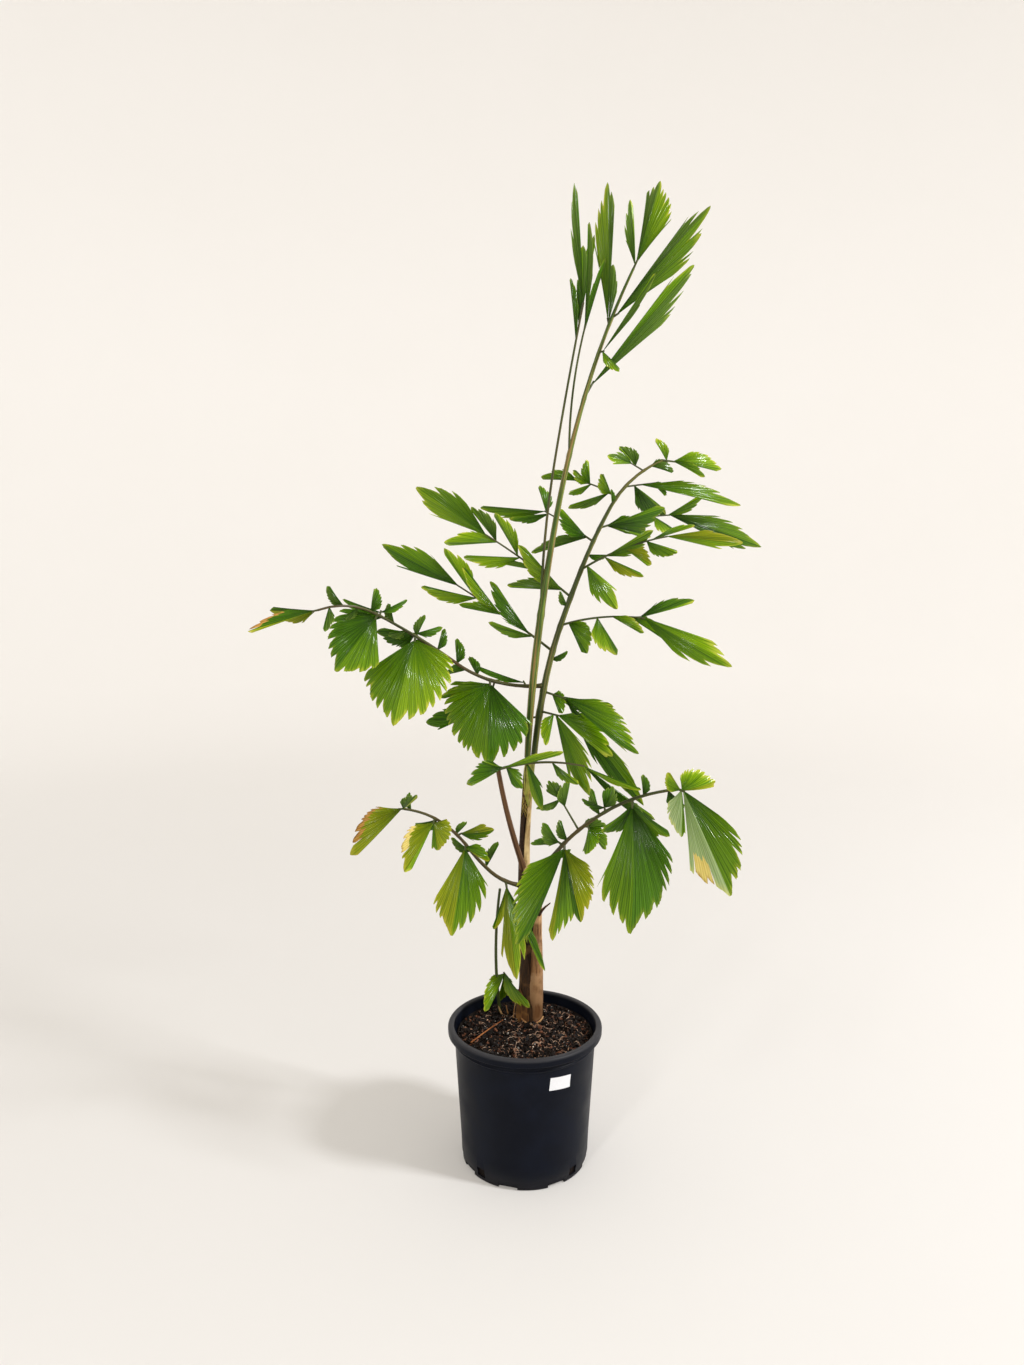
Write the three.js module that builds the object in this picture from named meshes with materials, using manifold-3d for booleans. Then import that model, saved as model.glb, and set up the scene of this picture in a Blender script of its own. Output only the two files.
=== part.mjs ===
// Potted clustering fishtail palm, millimetres, +Z up, seen from the front along +Y.
// The origin is the centre of the flat underside of the nursery pot.
//
// Every stalk, rib and leaflet is read from the front: a bearing of 0 degrees points to the
// right, 90 up and 180 to the left, a reach is the length seen from the front, and a lean is
// how far the piece comes forward, out of that plane, in degrees.

import * as THREE from 'three';
import { mergeVertices } from 'three/addons/utils/BufferGeometryUtils.js';
import Module from 'manifold-3d';

const wasm = await Module();
wasm.setup();

// Nursery pot
const RIM_RADIUS = 125;
const POT_HEIGHT = 228;
const RIM_HEIGHT = 13;
const NECK_RADIUS = 114;
const FOOT_RADIUS = 102;
const FOOT_ROUNDING = 3;
const BAND = { drop: 10, width: 2.5 };
const LIP = { slope: 1, rounding: 4, width: 9, inner_drop: 6 };
const WALL = 3;
const FLOOR = 4;
const POT_SIDES = 32;
const DRAIN_SLOTS = 8;
const SLOT = { width: 26, depth: 16, height: 7, turn: -98 };
const SOIL_LEVEL = 212;
const SOIL_ROUNDING = 1;

// Clearances and thicknesses
const GAP = 0.3;
const SUNK = 3;
const LEAF_THICKNESS = 1.7;
const LEAF_SLIMNESS = 90;
const LEAF_ROOT = 2.2;
const WIDEST_SPREAD = 0.95;

// Rules shared by all limbs and leaflets
const GROWTH_STEPS = 24;
const TRUNK_SIDES = 14;
const STALK_SIDES = 6;
const RIB_SIDES = 4;
const GOLDEN_TURN = 2.4;
const LEAN_SWING = 14;
const ROLL_SWING = 12;
const CLEARING_SWINGS = [0, 14, -14, 28, -28, 42, -42];
const ARCH = 0.07;
const KEEL = 0.3;

// Leaflet outlines: rays across the blade, how much shorter the rays get toward the edges and
// how fast, a slantwise cut, and how deep the bitten margin is. A fan is the broad terminal
// leaflet with a tail, a wedge the one-sided side leaflet, a comb the still folded leaflet of
// the newest leaf with its deep cuts, and a strap a blade seen nearly edge-on.
const FAN = { rays: 8, shoulder: 0.6, falloff: 1, slant: 0, bite: 0.1 };
const WEDGE = { rays: 4, shoulder: 0.86, falloff: 1.3, slant: 0.14, bite: 0.08 };
const COMB = { rays: 6, shoulder: 0.84, falloff: 1.2, slant: 0.05, bite: 0.2 };
const STRAP = { rays: 2, shoulder: 0.94, falloff: 1, slant: 0, bite: 0 };

const radians = THREE.MathUtils.degToRad;

const finish = (color, roughness) => new THREE.MeshStandardMaterial({ color, roughness, metalness: 0 });
const POT_PLASTIC = finish('#1b1f2b', 0.45);
const POTTING_MIX = finish('#2b1d15', 1);
const BARK_FIBRE = finish('#6b4a30', 0.9);
const TAN_SHEATH = finish('#c49a72', 0.8);
const GREEN_STALK = finish('#5d7034', 0.6);
const UPPER_LEAF = finish('#2f6b24', 0.5);
const LOWER_LEAF = finish('#4c8a23', 0.4);

// Value at t (0 to 1) of a list of evenly spaced readings
function reading(list, t) {
  const place = t * (list.length - 1);
  const index = Math.min(Math.floor(place), list.length - 2);
  return list.length === 1 ? list[0] : THREE.MathUtils.lerp(list[index], list[index + 1], place - index);
}

// Step in space of a given reach, bearing and lean
function heading(reach, bearing, lean) {
  const b = radians(bearing);
  return new THREE.Vector3(Math.cos(b), -Math.tan(radians(lean)), Math.sin(b)).multiplyScalar(reach);
}

// Stalk or rib: a centre line grown in equal steps from its start, and a radius that tapers
class Limb {
  constructor(start, { length, bearings, leans, radii, rings }, sides) {
    this.radii = radii;
    this.rings = rings;
    this.sides = sides;
    this.points = [start.clone()];
    for (let step = 0; step < GROWTH_STEPS; step += 1) {
      const t = step / (GROWTH_STEPS - 1);
      const stride = heading(length / GROWTH_STEPS, reading(bearings, t), reading(leans, t));
      this.points.push(this.points[step].clone().add(stride));
    }
  }

  at(t) {
    const place = t * GROWTH_STEPS;
    const index = Math.min(Math.floor(place), GROWTH_STEPS - 1);
    return this.points[index].clone().lerp(this.points[index + 1], place - index);
  }

  direction(t) {
    const index = Math.min(Math.floor(t * GROWTH_STEPS), GROWTH_STEPS - 1);
    return this.points[index + 1].clone().sub(this.points[index]).normalize();
  }

  // Closed tapering tube along the limb, fattened by a margin on all sides
  tube(margin = 0) {
    const geometry = new THREE.CylinderGeometry(1, 1, 1, this.sides, this.rings);
    const extra = margin / Math.cos(Math.PI / this.sides);
    return reshape(geometry, (x, y, z) => {
      const t = y + 0.5;
      const along = this.direction(t);
      const side = new THREE.Vector3(0, 1, 0).cross(along).normalize();
      const front = along.clone().cross(side);
      const radius = reading(this.radii, t) + extra;
      return this.at(t).addScaledVector(side, x * radius).addScaledVector(front, -z * radius);
    });
  }
}

// Moves each vertex of a geometry by a rule and returns the closed solid
function reshape(geometry, rule) {
  const position = geometry.attributes.position;
  for (let i = 0; i < position.count; i += 1) {
    const moved = rule(position.getX(i), position.getY(i), position.getZ(i));
    position.setXYZ(i, moved.x, moved.y, moved.z);
  }
  return solidOf(geometry);
}

function solidOf(geometry) {
  geometry.deleteAttribute('normal');
  geometry.deleteAttribute('uv');
  const merged = mergeVertices(geometry, 1e-3);
  return new wasm.Manifold(new wasm.Mesh({
    numProp: 3,
    vertProperties: merged.attributes.position.array,
    triVerts: Uint32Array.from(merged.index.array),
  }));
}

function geometryOf(solid) {
  const mesh = solid.getMesh();
  const geometry = new THREE.BufferGeometry();
  geometry.setAttribute('position', new THREE.BufferAttribute(mesh.vertProperties, 3));
  geometry.setIndex(new THREE.BufferAttribute(mesh.triVerts, 1));
  geometry.computeVertexNormals();
  return geometry;
}

// Outline of a leaflet in its own plane, sideways and forward of its root: rays fan out from a
// narrow foot to the bitten margin
function leafletOutline(length, spread, outline) {
  const points = [new THREE.Vector2(-LEAF_ROOT / 2, 0)];
  for (let ray = 0; ray <= outline.rays; ray += 1) {
    const x = 2 * ray / outline.rays - 1;
    const bite = (ray + outline.rays / 2) % 2 === 1 ? outline.bite : 0;
    const edge = (1 - outline.shoulder) * Math.abs(x) ** outline.falloff;
    const radius = length * (1 - edge + outline.slant * x - bite);
    points.push(new THREE.Vector2(radius * Math.sin(x * spread), radius * Math.cos(x * spread)));
  }
  points.push(new THREE.Vector2(LEAF_ROOT / 2, 0));
  return new THREE.Shape(points);
}

// Leaflet blade: a thin slab in that outline, arched along its length, with both halves folded
// back from the middle like a shallow keel
function blade(root, { reach, width, bearing, outline }, lean, roll) {
  const toTip = heading(reach, bearing, lean);
  const length = toTip.length();
  const along = toTip.clone().normalize();
  const level = new THREE.Vector3(-Math.sin(radians(bearing)), 0, Math.cos(radians(bearing)));
  const across = level.applyAxisAngle(along, radians(roll));
  const face = across.clone().cross(along);
  const spread = Math.asin(Math.min(WIDEST_SPREAD, width / 2 / (length * outline.shoulder)));
  const depth = Math.max(LEAF_THICKNESS, length / LEAF_SLIMNESS);
  const flat = leafletOutline(length, spread, outline);
  const slab = new THREE.ExtrudeGeometry(flat, { depth, bevelEnabled: false });
  return reshape(slab, (x, y, z) => {
    const lift = ARCH * length * Math.sin(Math.PI * y / length) - KEEL * Math.abs(x) * y / length;
    return root.clone()
      .addScaledVector(across, x)
      .addScaledVector(along, y)
      .addScaledVector(face, lift + z - depth / 2);
  });
}

// Everything made so far, by name, so that later leaflets can hang clear of it
const solids = new Map();
const materials = new Map();
const limbs = new Map();

function keep(name, solid, material) {
  solids.set(name, solid);
  materials.set(name, material);
}

function touches(solid, ownName) {
  for (const [name, other] of solids) {
    if (name !== ownName && solid.intersect(other).volume() > 0) {
      return true;
    }
  }
  return false;
}

// Lathe solid from a closed profile of [radius, height] pairs that starts and ends on the axis
function turned(profile) {
  const points = profile.map(([radius, height]) => new THREE.Vector2(radius, height));
  const geometry = new THREE.LatheGeometry(points, POT_SIDES);
  geometry.rotateX(Math.PI / 2);
  return solidOf(geometry);
}

function makePot() {
  const lip = POT_HEIGHT - RIM_HEIGHT;
  const bandRadius = NECK_RADIUS + BAND.width;
  let pot = turned([
    [0, 0],
    [FOOT_RADIUS - FOOT_ROUNDING, 0],
    [FOOT_RADIUS, FOOT_ROUNDING],
    [NECK_RADIUS, lip - BAND.drop - BAND.width],
    [bandRadius, lip - BAND.drop],
    [bandRadius, lip],
    [RIM_RADIUS - LIP.slope, lip],
    [RIM_RADIUS, POT_HEIGHT - LIP.rounding],
    [RIM_RADIUS - LIP.rounding, POT_HEIGHT],
    [RIM_RADIUS - LIP.width, POT_HEIGHT],
    [NECK_RADIUS - WALL, POT_HEIGHT - LIP.inner_drop],
    [FOOT_RADIUS - WALL, FLOOR],
    [0, FLOOR],
  ]);
  for (let index = 0; index < DRAIN_SLOTS; index += 1) {
    const slot = new THREE.BoxGeometry(SLOT.depth, SLOT.width, SLOT.height * 2);
    slot.translate(FOOT_RADIUS, 0, 0);
    slot.rotateZ(radians(SLOT.turn + index * 360 / DRAIN_SLOTS));
    pot = pot.subtract(solidOf(slot));
  }
  keep('pot', pot, POT_PLASTIC);
}

function makeSoil() {
  const inside = (height) => {
    const t = (height - FLOOR) / (POT_HEIGHT - LIP.inner_drop - FLOOR);
    return THREE.MathUtils.lerp(FOOT_RADIUS, NECK_RADIUS, t) - WALL - 2 * GAP - SOIL_ROUNDING;
  };
  const soil = turned([
    [0, FLOOR + GAP],
    [inside(FLOOR + GAP), FLOOR + GAP],
    [inside(SOIL_LEVEL), SOIL_LEVEL],
    [0, SOIL_LEVEL],
  ]);
  keep('soil', soil, POTTING_MIX);
}

// Trunk: a leaning false stem of old leaf bases that flares at the soil
const TRUNK = {
  start: new THREE.Vector3(9, 49, SOIL_LEVEL - SUNK),
  length: 451,
  bearings: [89, 95, 89, 84],
  leans: [2],
  radii: [21, 15.5, 14, 12.5, 11.5, 11, 10.5, 10],
  rings: 14,
};

// Base of a cut frond: a tan sheath that clasps the trunk on its right and ends in a stub
const CUT_BASE = {
  start: new THREE.Vector3(22, 40, SOIL_LEVEL - SUNK),
  length: 229,
  bearings: [92, 91, 88, 80],
  leans: [1, 2, 6, 34],
  radii: [15, 12.5, 11.5, 10.5, 10, 10.5],
  rings: 8,
};

// Stalks that stand on the trunk's top or come out of its side. "on" names what carries a limb
// and "place" how far along that it starts. The tip of the newest leaf stands straight up.
const STALKS = [
  {
    name: 'spear_stalk', material: GREEN_STALK, on: 'trunk', place: 1, aside: -5.2, rise: 2 * GAP,
    length: 766, bearings: [87, 83, 80, 74, 65], leans: [1],
    radii: [4.4, 5.4, 4.2, 3.2, 2.6, 1.8], rings: 12,
  },
  {
    name: 'main_frond_stalk', material: GREEN_STALK, on: 'trunk', place: 1, aside: 5.2, rise: 2 * GAP,
    length: 532, bearings: [84, 79, 71, 68, 61, 26], leans: [-6],
    radii: [4.6, 4.8, 4, 3.4, 2.6, 1.8], rings: 14,
  },
  {
    name: 'left_frond_stalk', material: GREEN_STALK, on: 'main_frond_stalk', place: 0.218,
    length: 367, bearings: [184, 164, 141, 144, 147, 195], leans: [0, 18, 34, 34],
    radii: [3, 2.6, 2.2, 1.6], rings: 14,
  },
  {
    name: 'front_frond_stalk', material: BARK_FIBRE, on: 'trunk', place: 0.584,
    length: 196, bearings: [106, 98], leans: [30], radii: [4.2, 3], rings: 6,
  },
  {
    name: 'right_frond_stalk', material: GREEN_STALK, on: 'trunk', place: 0.51,
    length: 316, bearings: [62, 60, 42, 16], leans: [40, 36, 30], radii: [3.6, 2.8, 2], rings: 12,
  },
  {
    name: 'low_left_frond_stalk', material: GREEN_STALK, on: 'trunk', place: 0.52,
    length: 254, bearings: [166, 130, 117, 132, 160], leans: [14, 36, 34], radii: [3.4, 2.6, 1.8], rings: 12,
  },
  {
    name: 'sucker_stalk', material: GREEN_STALK, from: new THREE.Vector3(-41, 68, SOIL_LEVEL - SUNK),
    length: 222, bearings: [97, 83], leans: [1], radii: [2.8, 2.2], rings: 6,
  },
  {
    name: 'seedling_stalk', material: GREEN_STALK, from: new THREE.Vector3(-14, 94, SOIL_LEVEL - SUNK),
    length: 66, bearings: [88, 122], leans: [14], radii: [2.6, 2], rings: 4,
  },
];

// Side ribs with their leaflets. A rib starts at a place along its stalk. Its leaflets are
// [place along the rib, reach, width, bearing, outline], and lean and roll give their pose.
const PINNAE = [
  {
    name: 'spear_left_leaflets', on: 'spear_stalk', place: 0.3, material: UPPER_LEAF,
    length: 470, bearings: [89, 81, 79], leans: [1, 4], radii: [2.2, 1.6], rings: 3, lean: 0, roll: 20,
    leaflets: [
      [1, 160, 14, 96, WEDGE], [0.93, 142, 17, 80, WEDGE], [0.99, 81, 12, 91, STRAP],
      [0.88, 93, 10, 95, STRAP],
    ],
  },
  {
    name: 'spear_middle_leaflets', on: 'spear_stalk', place: 0.624, material: UPPER_LEAF,
    length: 190, bearings: [91, 76], leans: [8, 10], radii: [1.8, 1.4], rings: 3, lean: 6, roll: -20,
    leaflets: [[0.96, 139, 10, 89, STRAP], [0.85, 132, 9, 74, STRAP]],
  },
  {
    name: 'spear_tip_leaflets', on: 'spear_stalk', place: 1, material: UPPER_LEAF,
    length: 14, bearings: [65], leans: [0], radii: [1.8, 1.4], rings: 1, lean: 0, roll: 25,
    leaflets: [[0.4, 88, 16, 97, WEDGE], [0.7, 132, 44, 73, COMB]],
  },
  {
    name: 'spear_top_leaflets', on: 'spear_stalk', place: 0.885, material: UPPER_LEAF,
    length: 12, bearings: [98], leans: [-30], radii: [1.8, 1.4], rings: 1, lean: -8, roll: -18,
    leaflets: [[0.8, 195, 30, 91, COMB], [0.5, 94, 12, 84, STRAP]],
  },
  {
    name: 'spear_right_leaflets', on: 'spear_stalk', place: 0.9, material: UPPER_LEAF,
    length: 12, bearings: [30], leans: [20], radii: [1.8, 1.4], rings: 1, lean: 10, roll: 15,
    leaflets: [[0.6, 184, 40, 47, COMB]],
  },
  {
    name: 'spear_low_leaflets', on: 'spear_stalk', place: 0.74, material: UPPER_LEAF,
    length: 30, bearings: [60], leans: [-25], radii: [2, 1.5], rings: 2, lean: -12, roll: 20,
    leaflets: [[0.8, 236, 32, 49, COMB]],
  },
  {
    name: 'spear_small_leaflets', on: 'spear_stalk', place: 0.83, material: UPPER_LEAF,
    length: 8, bearings: [10], leans: [30], radii: [1.6, 1.3], rings: 1, lean: 25, roll: 0,
    leaflets: [[0.7, 114, 10, 54, STRAP], [0.7, 40, 13, -52, WEDGE]],
  },
  {
    name: 'main_frond_low_left', on: 'main_frond_stalk', place: 0.123, material: LOWER_LEAF,
    length: 32, bearings: [193], leans: [-30], radii: [1.8, 1.4], rings: 2, lean: -20, roll: 10,
    leaflets: [[0.8, 34, 24, 215, FAN]],
  },
  {
    name: 'main_frond_left_1', on: 'main_frond_stalk', place: 0.323, material: UPPER_LEAF,
    length: 192, bearings: [143, 148, 149], leans: [-26], radii: [2.2, 1.3], rings: 5, lean: -12, roll: 25,
    leaflets: [
      [0.24, 106, 24, 127, WEDGE], [0.2, 76, 16, 165, WEDGE], [0.54, 96, 18, 129, WEDGE],
      [0.5, 76, 17, 167, WEDGE], [0.8, 95, 24, 123, WEDGE], [0.77, 95, 22, 169, WEDGE],
      [0.97, 152, 44, 153, FAN],
    ],
  },
  {
    name: 'main_frond_left_2', on: 'main_frond_stalk', place: 0.494, material: UPPER_LEAF,
    length: 168, bearings: [140, 148], leans: [-4, 26], radii: [2, 1.2], rings: 5, lean: 6, roll: -25,
    leaflets: [
      [0.1, 102, 24, 135, WEDGE], [0.1, 90, 20, 175, WEDGE], [0.64, 75, 20, 118, WEDGE],
      [0.61, 90, 21, 180, WEDGE], [0.88, 66, 21, 126, WEDGE], [0.86, 83, 22, 180, WEDGE],
      [1, 131, 48, 146, FAN], [0.4, 64, 10, 168, STRAP],
    ],
  },
  {
    name: 'main_frond_left_3', on: 'main_frond_stalk', place: 0.672, material: UPPER_LEAF,
    length: 91, bearings: [143, 149], leans: [-40], radii: [1.8, 1.2], rings: 3, lean: -18, roll: 20,
    leaflets: [
      [0.14, 64, 24, 136, WEDGE], [0.12, 93, 18, 195, WEDGE], [0.97, 45, 20, 103, WEDGE],
      [0.91, 66, 14, 188, WEDGE], [1, 110, 20, 176, WEDGE],
    ],
  },
  {
    name: 'main_frond_left_4', on: 'main_frond_stalk', place: 0.82, material: UPPER_LEAF,
    length: 71, bearings: [141, 169], leans: [-28], radii: [1.6, 1.1], rings: 3, lean: -8, roll: -20,
    leaflets: [
      [0.15, 36, 19, 118, WEDGE], [0.2, 69, 14, 200, WEDGE], [0.66, 39, 16, 100, WEDGE],
      [0.7, 33, 14, 140, WEDGE], [0.95, 60, 19, 173, WEDGE], [0.64, 40, 11, 204, STRAP],
    ],
  },
  {
    name: 'main_frond_left_5', on: 'main_frond_stalk', place: 0.935, material: UPPER_LEAF,
    length: 26, bearings: [153], leans: [25], radii: [1.5, 1.1], rings: 2, lean: 20, roll: 15,
    leaflets: [[0.9, 42, 22, 167, FAN], [0.6, 40, 20, 132, WEDGE]],
  },
  {
    name: 'main_frond_tip', on: 'main_frond_stalk', place: 1, material: UPPER_LEAF,
    length: 30, bearings: [-6], leans: [-10], radii: [1.7, 1.2], rings: 2, lean: -6, roll: -15,
    leaflets: [[0.2, 39, 14, 117, WEDGE], [0.6, 84, 26, -6, WEDGE], [0.6, 56, 14, -26, WEDGE]],
  },
  {
    name: 'main_frond_right_1', on: 'main_frond_stalk', place: 0.2, material: LOWER_LEAF,
    length: 36, bearings: [-14], leans: [30], radii: [2, 1.5], rings: 2, lean: 22, roll: -15,
    leaflets: [
      [0.4, 32, 22, -60, WEDGE], [0.5, 95, 22, -10, WEDGE], [1, 129, 42, -34, WEDGE], [1, 195, 36, -53, FAN],
    ],
  },
  {
    name: 'main_frond_low_right', on: 'main_frond_stalk', place: 0.14, material: LOWER_LEAF,
    length: 31, bearings: [-6], leans: [42], radii: [2, 1.5], rings: 2, lean: 26, roll: 15,
    leaflets: [[0.8, 121, 40, -66, FAN], [0.9, 100, 38, -34, WEDGE], [0.7, 46, 20, -108, WEDGE]],
  },
  {
    name: 'main_frond_right_2', on: 'main_frond_stalk', place: 0.404, material: UPPER_LEAF,
    length: 130, bearings: [19, -6], leans: [20], radii: [2, 1.2], rings: 3, lean: 10, roll: 20,
    leaflets: [
      [0.1, 55, 32, -58, WEDGE], [0.45, 68, 29, -62, WEDGE], [0.62, 54, 16, -26, WEDGE],
      [0.82, 66, 18, -30, WEDGE], [0.94, 89, 19, 18, WEDGE], [1, 142, 44, -29, FAN],
    ],
  },
  {
    name: 'main_frond_right_3', on: 'main_frond_stalk', place: 0.581, material: UPPER_LEAF,
    length: 135, bearings: [34, 11], leans: [32], radii: [1.9, 1.2], rings: 3, lean: 18, roll: -20,
    leaflets: [
      [0.32, 78, 22, 30, WEDGE], [0.3, 69, 17, -27, WEDGE], [0.53, 47, 23, -32, WEDGE],
      [0.78, 49, 20, -22, WEDGE], [0.84, 66, 10, 19, STRAP], [1, 101, 24, -6, FAN],
      [0.08, 84, 36, -55, FAN],
    ],
  },
  {
    name: 'main_frond_right_4', on: 'main_frond_stalk', place: 0.717, material: UPPER_LEAF,
    length: 128, bearings: [17, 4], leans: [-34], radii: [1.8, 1.2], rings: 3, lean: -18, roll: 25,
    leaflets: [
      [0.1, 100, 32, 17, WEDGE], [0.76, 48, 20, -32, WEDGE], [0.96, 72, 16, 29, WEDGE],
      [1, 180, 44, -17, FAN], [0.1, 78, 30, -13, WEDGE],
    ],
  },
  {
    name: 'main_frond_right_5', on: 'main_frond_stalk', place: 0.862, material: UPPER_LEAF,
    length: 56, bearings: [10], leans: [-45], radii: [1.6, 1.2], rings: 3, lean: -26, roll: -20,
    leaflets: [[0.5, 180, 26, -10, WEDGE], [0.3, 76, 29, -36, WEDGE], [0.9, 32, 14, -36, WEDGE]],
  },
  {
    name: 'left_frond_inner', on: 'left_frond_stalk', place: 0.24, material: LOWER_LEAF,
    length: 9, bearings: [-90], leans: [25], radii: [2.2, 1.8], rings: 1, lean: 12, roll: 0,
    leaflets: [[0.7, 124, 144, -91, FAN], [0.7, 84, 18, 195, WEDGE]],
  },
  {
    name: 'left_frond_root', on: 'left_frond_stalk', place: 0.08, material: LOWER_LEAF,
    length: 9, bearings: [120], leans: [-30], radii: [1.8, 1.4], rings: 1, lean: -14, roll: 20,
    leaflets: [[0.7, 86, 12, 162, WEDGE]],
  },
  {
    name: 'left_frond_under', on: 'left_frond_stalk', place: 0.22, material: UPPER_LEAF,
    length: 84, bearings: [258, 205], leans: [-22], radii: [1.8, 1.3], rings: 4, lean: -8, roll: 15,
    leaflets: [[1, 64, 30, 188, FAN]],
  },
  {
    name: 'left_frond_middle', on: 'left_frond_stalk', place: 0.61, material: LOWER_LEAF,
    length: 9, bearings: [-95], leans: [25], radii: [2, 1.7], rings: 1, lean: 14, roll: 0,
    leaflets: [[0.7, 127, 124, -103, FAN]],
  },
  {
    name: 'left_frond_middle_back', on: 'left_frond_stalk', place: 0.6, material: UPPER_LEAF,
    length: 9, bearings: [110], leans: [-30], radii: [1.8, 1.4], rings: 1, lean: -16, roll: -20,
    leaflets: [[0.7, 62, 30, 178, WEDGE], [0.7, 40, 13, 10, WEDGE]],
  },
  {
    name: 'left_frond_outer', on: 'left_frond_stalk', place: 0.78, material: LOWER_LEAF,
    length: 8, bearings: [-115], leans: [25], radii: [1.9, 1.6], rings: 1, lean: 12, roll: 0,
    leaflets: [[0.7, 94, 90, -126, FAN]],
  },
  {
    name: 'left_frond_outer_back', on: 'left_frond_stalk', place: 0.77, material: UPPER_LEAF,
    length: 8, bearings: [80], leans: [-25], radii: [1.7, 1.4], rings: 1, lean: -12, roll: 20,
    leaflets: [[0.7, 60, 12, 162, WEDGE], [0.7, 42, 11, 24, WEDGE]],
  },
  {
    name: 'left_frond_tip', on: 'left_frond_stalk', place: 1, material: LOWER_LEAF,
    length: 8, bearings: [190], leans: [20], radii: [1.5, 1.2], rings: 1, lean: 10, roll: 20,
    leaflets: [[0.5, 93, 16, 197, WEDGE], [0.4, 66, 24, 180, WEDGE]],
  },
  {
    name: 'front_frond_leaflets', on: 'front_frond_stalk', place: 1, material: UPPER_LEAF,
    length: 130, bearings: [18, -10], leans: [8], radii: [2.4, 1.3], rings: 3, lean: 10, roll: 15,
    leaflets: [
      [0.05, 56, 26, 200, WEDGE], [0.08, 36, 14, 168, WEDGE], [0.05, 96, 12, 20, STRAP],
      [0.1, 40, 22, -52, FAN], [0.34, 74, 20, -72, FAN], [0.63, 48, 14, -37, WEDGE],
      [1, 136, 14, -38, WEDGE], [0.98, 90, 10, -20, STRAP],
    ],
  },
  {
    name: 'right_frond_inner', on: 'right_frond_stalk', place: 0.385, material: LOWER_LEAF,
    length: 9, bearings: [-90], leans: [35], radii: [2.4, 2], rings: 1, lean: 16, roll: 0,
    leaflets: [[0.8, 146, 50, -121, WEDGE], [0.8, 146, 46, -97, WEDGE], [0.8, 100, 42, -77, WEDGE]],
  },
  {
    name: 'right_frond_inner_back', on: 'right_frond_stalk', place: 0.37, material: UPPER_LEAF,
    length: 9, bearings: [140], leans: [10], radii: [2, 1.6], rings: 1, lean: 0, roll: 20,
    leaflets: [[0.8, 42, 22, 128, WEDGE], [0.8, 44, 14, 186, WEDGE]],
  },
  {
    name: 'right_frond_upper_twig', on: 'right_frond_stalk', place: 0.494, material: UPPER_LEAF,
    length: 54, bearings: [121], leans: [-12], radii: [1.7, 1.2], rings: 3, lean: -10, roll: 15,
    leaflets: [[0.74, 41, 18, 84, WEDGE], [1, 30, 24, 126, FAN], [0.98, 40, 12, 202, WEDGE]],
  },
  {
    name: 'right_frond_small_leaflets', on: 'right_frond_stalk', place: 0.55, material: LOWER_LEAF,
    length: 8, bearings: [-70], leans: [20], radii: [1.8, 1.4], rings: 1, lean: 5, roll: -15,
    leaflets: [[0.8, 38, 24, -97, WEDGE], [0.8, 44, 21, -52, WEDGE]],
  },
  {
    name: 'right_frond_upright_leaflets', on: 'right_frond_stalk', place: 0.66, material: UPPER_LEAF,
    length: 8, bearings: [100], leans: [-10], radii: [1.7, 1.4], rings: 1, lean: -8, roll: 10,
    leaflets: [[0.8, 34, 27, 70, FAN], [0.8, 34, 12, 165, WEDGE]],
  },
  {
    name: 'right_frond_middle', on: 'right_frond_stalk', place: 0.8, material: LOWER_LEAF,
    length: 12, bearings: [-92], leans: [25], radii: [2, 1.7], rings: 1, lean: 10, roll: 0,
    leaflets: [[0.9, 166, 100, -93, FAN], [0.6, 60, 28, -136, WEDGE], [0.6, 64, 28, -38, WEDGE]],
  },
  {
    name: 'right_frond_tip', on: 'right_frond_stalk', place: 1, material: LOWER_LEAF,
    length: 9, bearings: [-20], leans: [18], radii: [1.9, 1.6], rings: 1, lean: 4, roll: 8,
    leaflets: [
      [0.8, 152, 76, -66, FAN], [0.5, 50, 32, 14, WEDGE], [0.5, 62, 24, -92, WEDGE],
      [0.3, 34, 18, 128, WEDGE],
    ],
  },
  {
    name: 'low_left_frond_middle', on: 'low_left_frond_stalk', place: 0.53, material: LOWER_LEAF,
    length: 9, bearings: [-95], leans: [20], radii: [2, 1.7], rings: 1, lean: 10, roll: 0,
    leaflets: [[0.8, 126, 78, -99, FAN], [0.5, 44, 18, -30, WEDGE]],
  },
  {
    name: 'low_left_frond_upper', on: 'low_left_frond_stalk', place: 0.62, material: UPPER_LEAF,
    length: 8, bearings: [20], leans: [-10], radii: [1.7, 1.4], rings: 1, lean: -4, roll: 15,
    leaflets: [[0.8, 52, 30, 9, FAN]],
  },
  {
    name: 'low_left_frond_wide', on: 'low_left_frond_stalk', place: 0.81, material: LOWER_LEAF,
    length: 8, bearings: [-105], leans: [25], radii: [1.8, 1.5], rings: 1, lean: 14, roll: 0,
    leaflets: [[0.8, 78, 36, -122, WEDGE], [0.8, 44, 34, -82, WEDGE]],
  },
  {
    name: 'low_left_frond_tip', on: 'low_left_frond_stalk', place: 1, material: LOWER_LEAF,
    length: 8, bearings: [175], leans: [15], radii: [1.6, 1.3], rings: 1, lean: 6, roll: 20,
    leaflets: [[0.4, 96, 36, -140, WEDGE], [0.8, 66, 12, -150, STRAP], [0.1, 40, 16, 52, WEDGE]],
  },
  {
    name: 'low_left_frond_root', on: 'low_left_frond_stalk', place: 0.13, material: LOWER_LEAF,
    length: 10, bearings: [-80], leans: [35], radii: [2.2, 1.8], rings: 1, lean: 16, roll: 0,
    leaflets: [[0.8, 132, 44, -83, FAN], [0.7, 76, 20, -106, WEDGE], [0.8, 130, 12, -62, STRAP]],
  },
  {
    name: 'seedling_leaflets', on: 'seedling_stalk', place: 1, material: LOWER_LEAF,
    length: 8, bearings: [120], leans: [14], radii: [1.9, 1.5], rings: 1, lean: 12, roll: 0,
    leaflets: [[0.6, 51, 24, -131, WEDGE], [0.7, 50, 22, -98, WEDGE], [0.7, 52, 25, -36, WEDGE]],
  },
];

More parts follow.
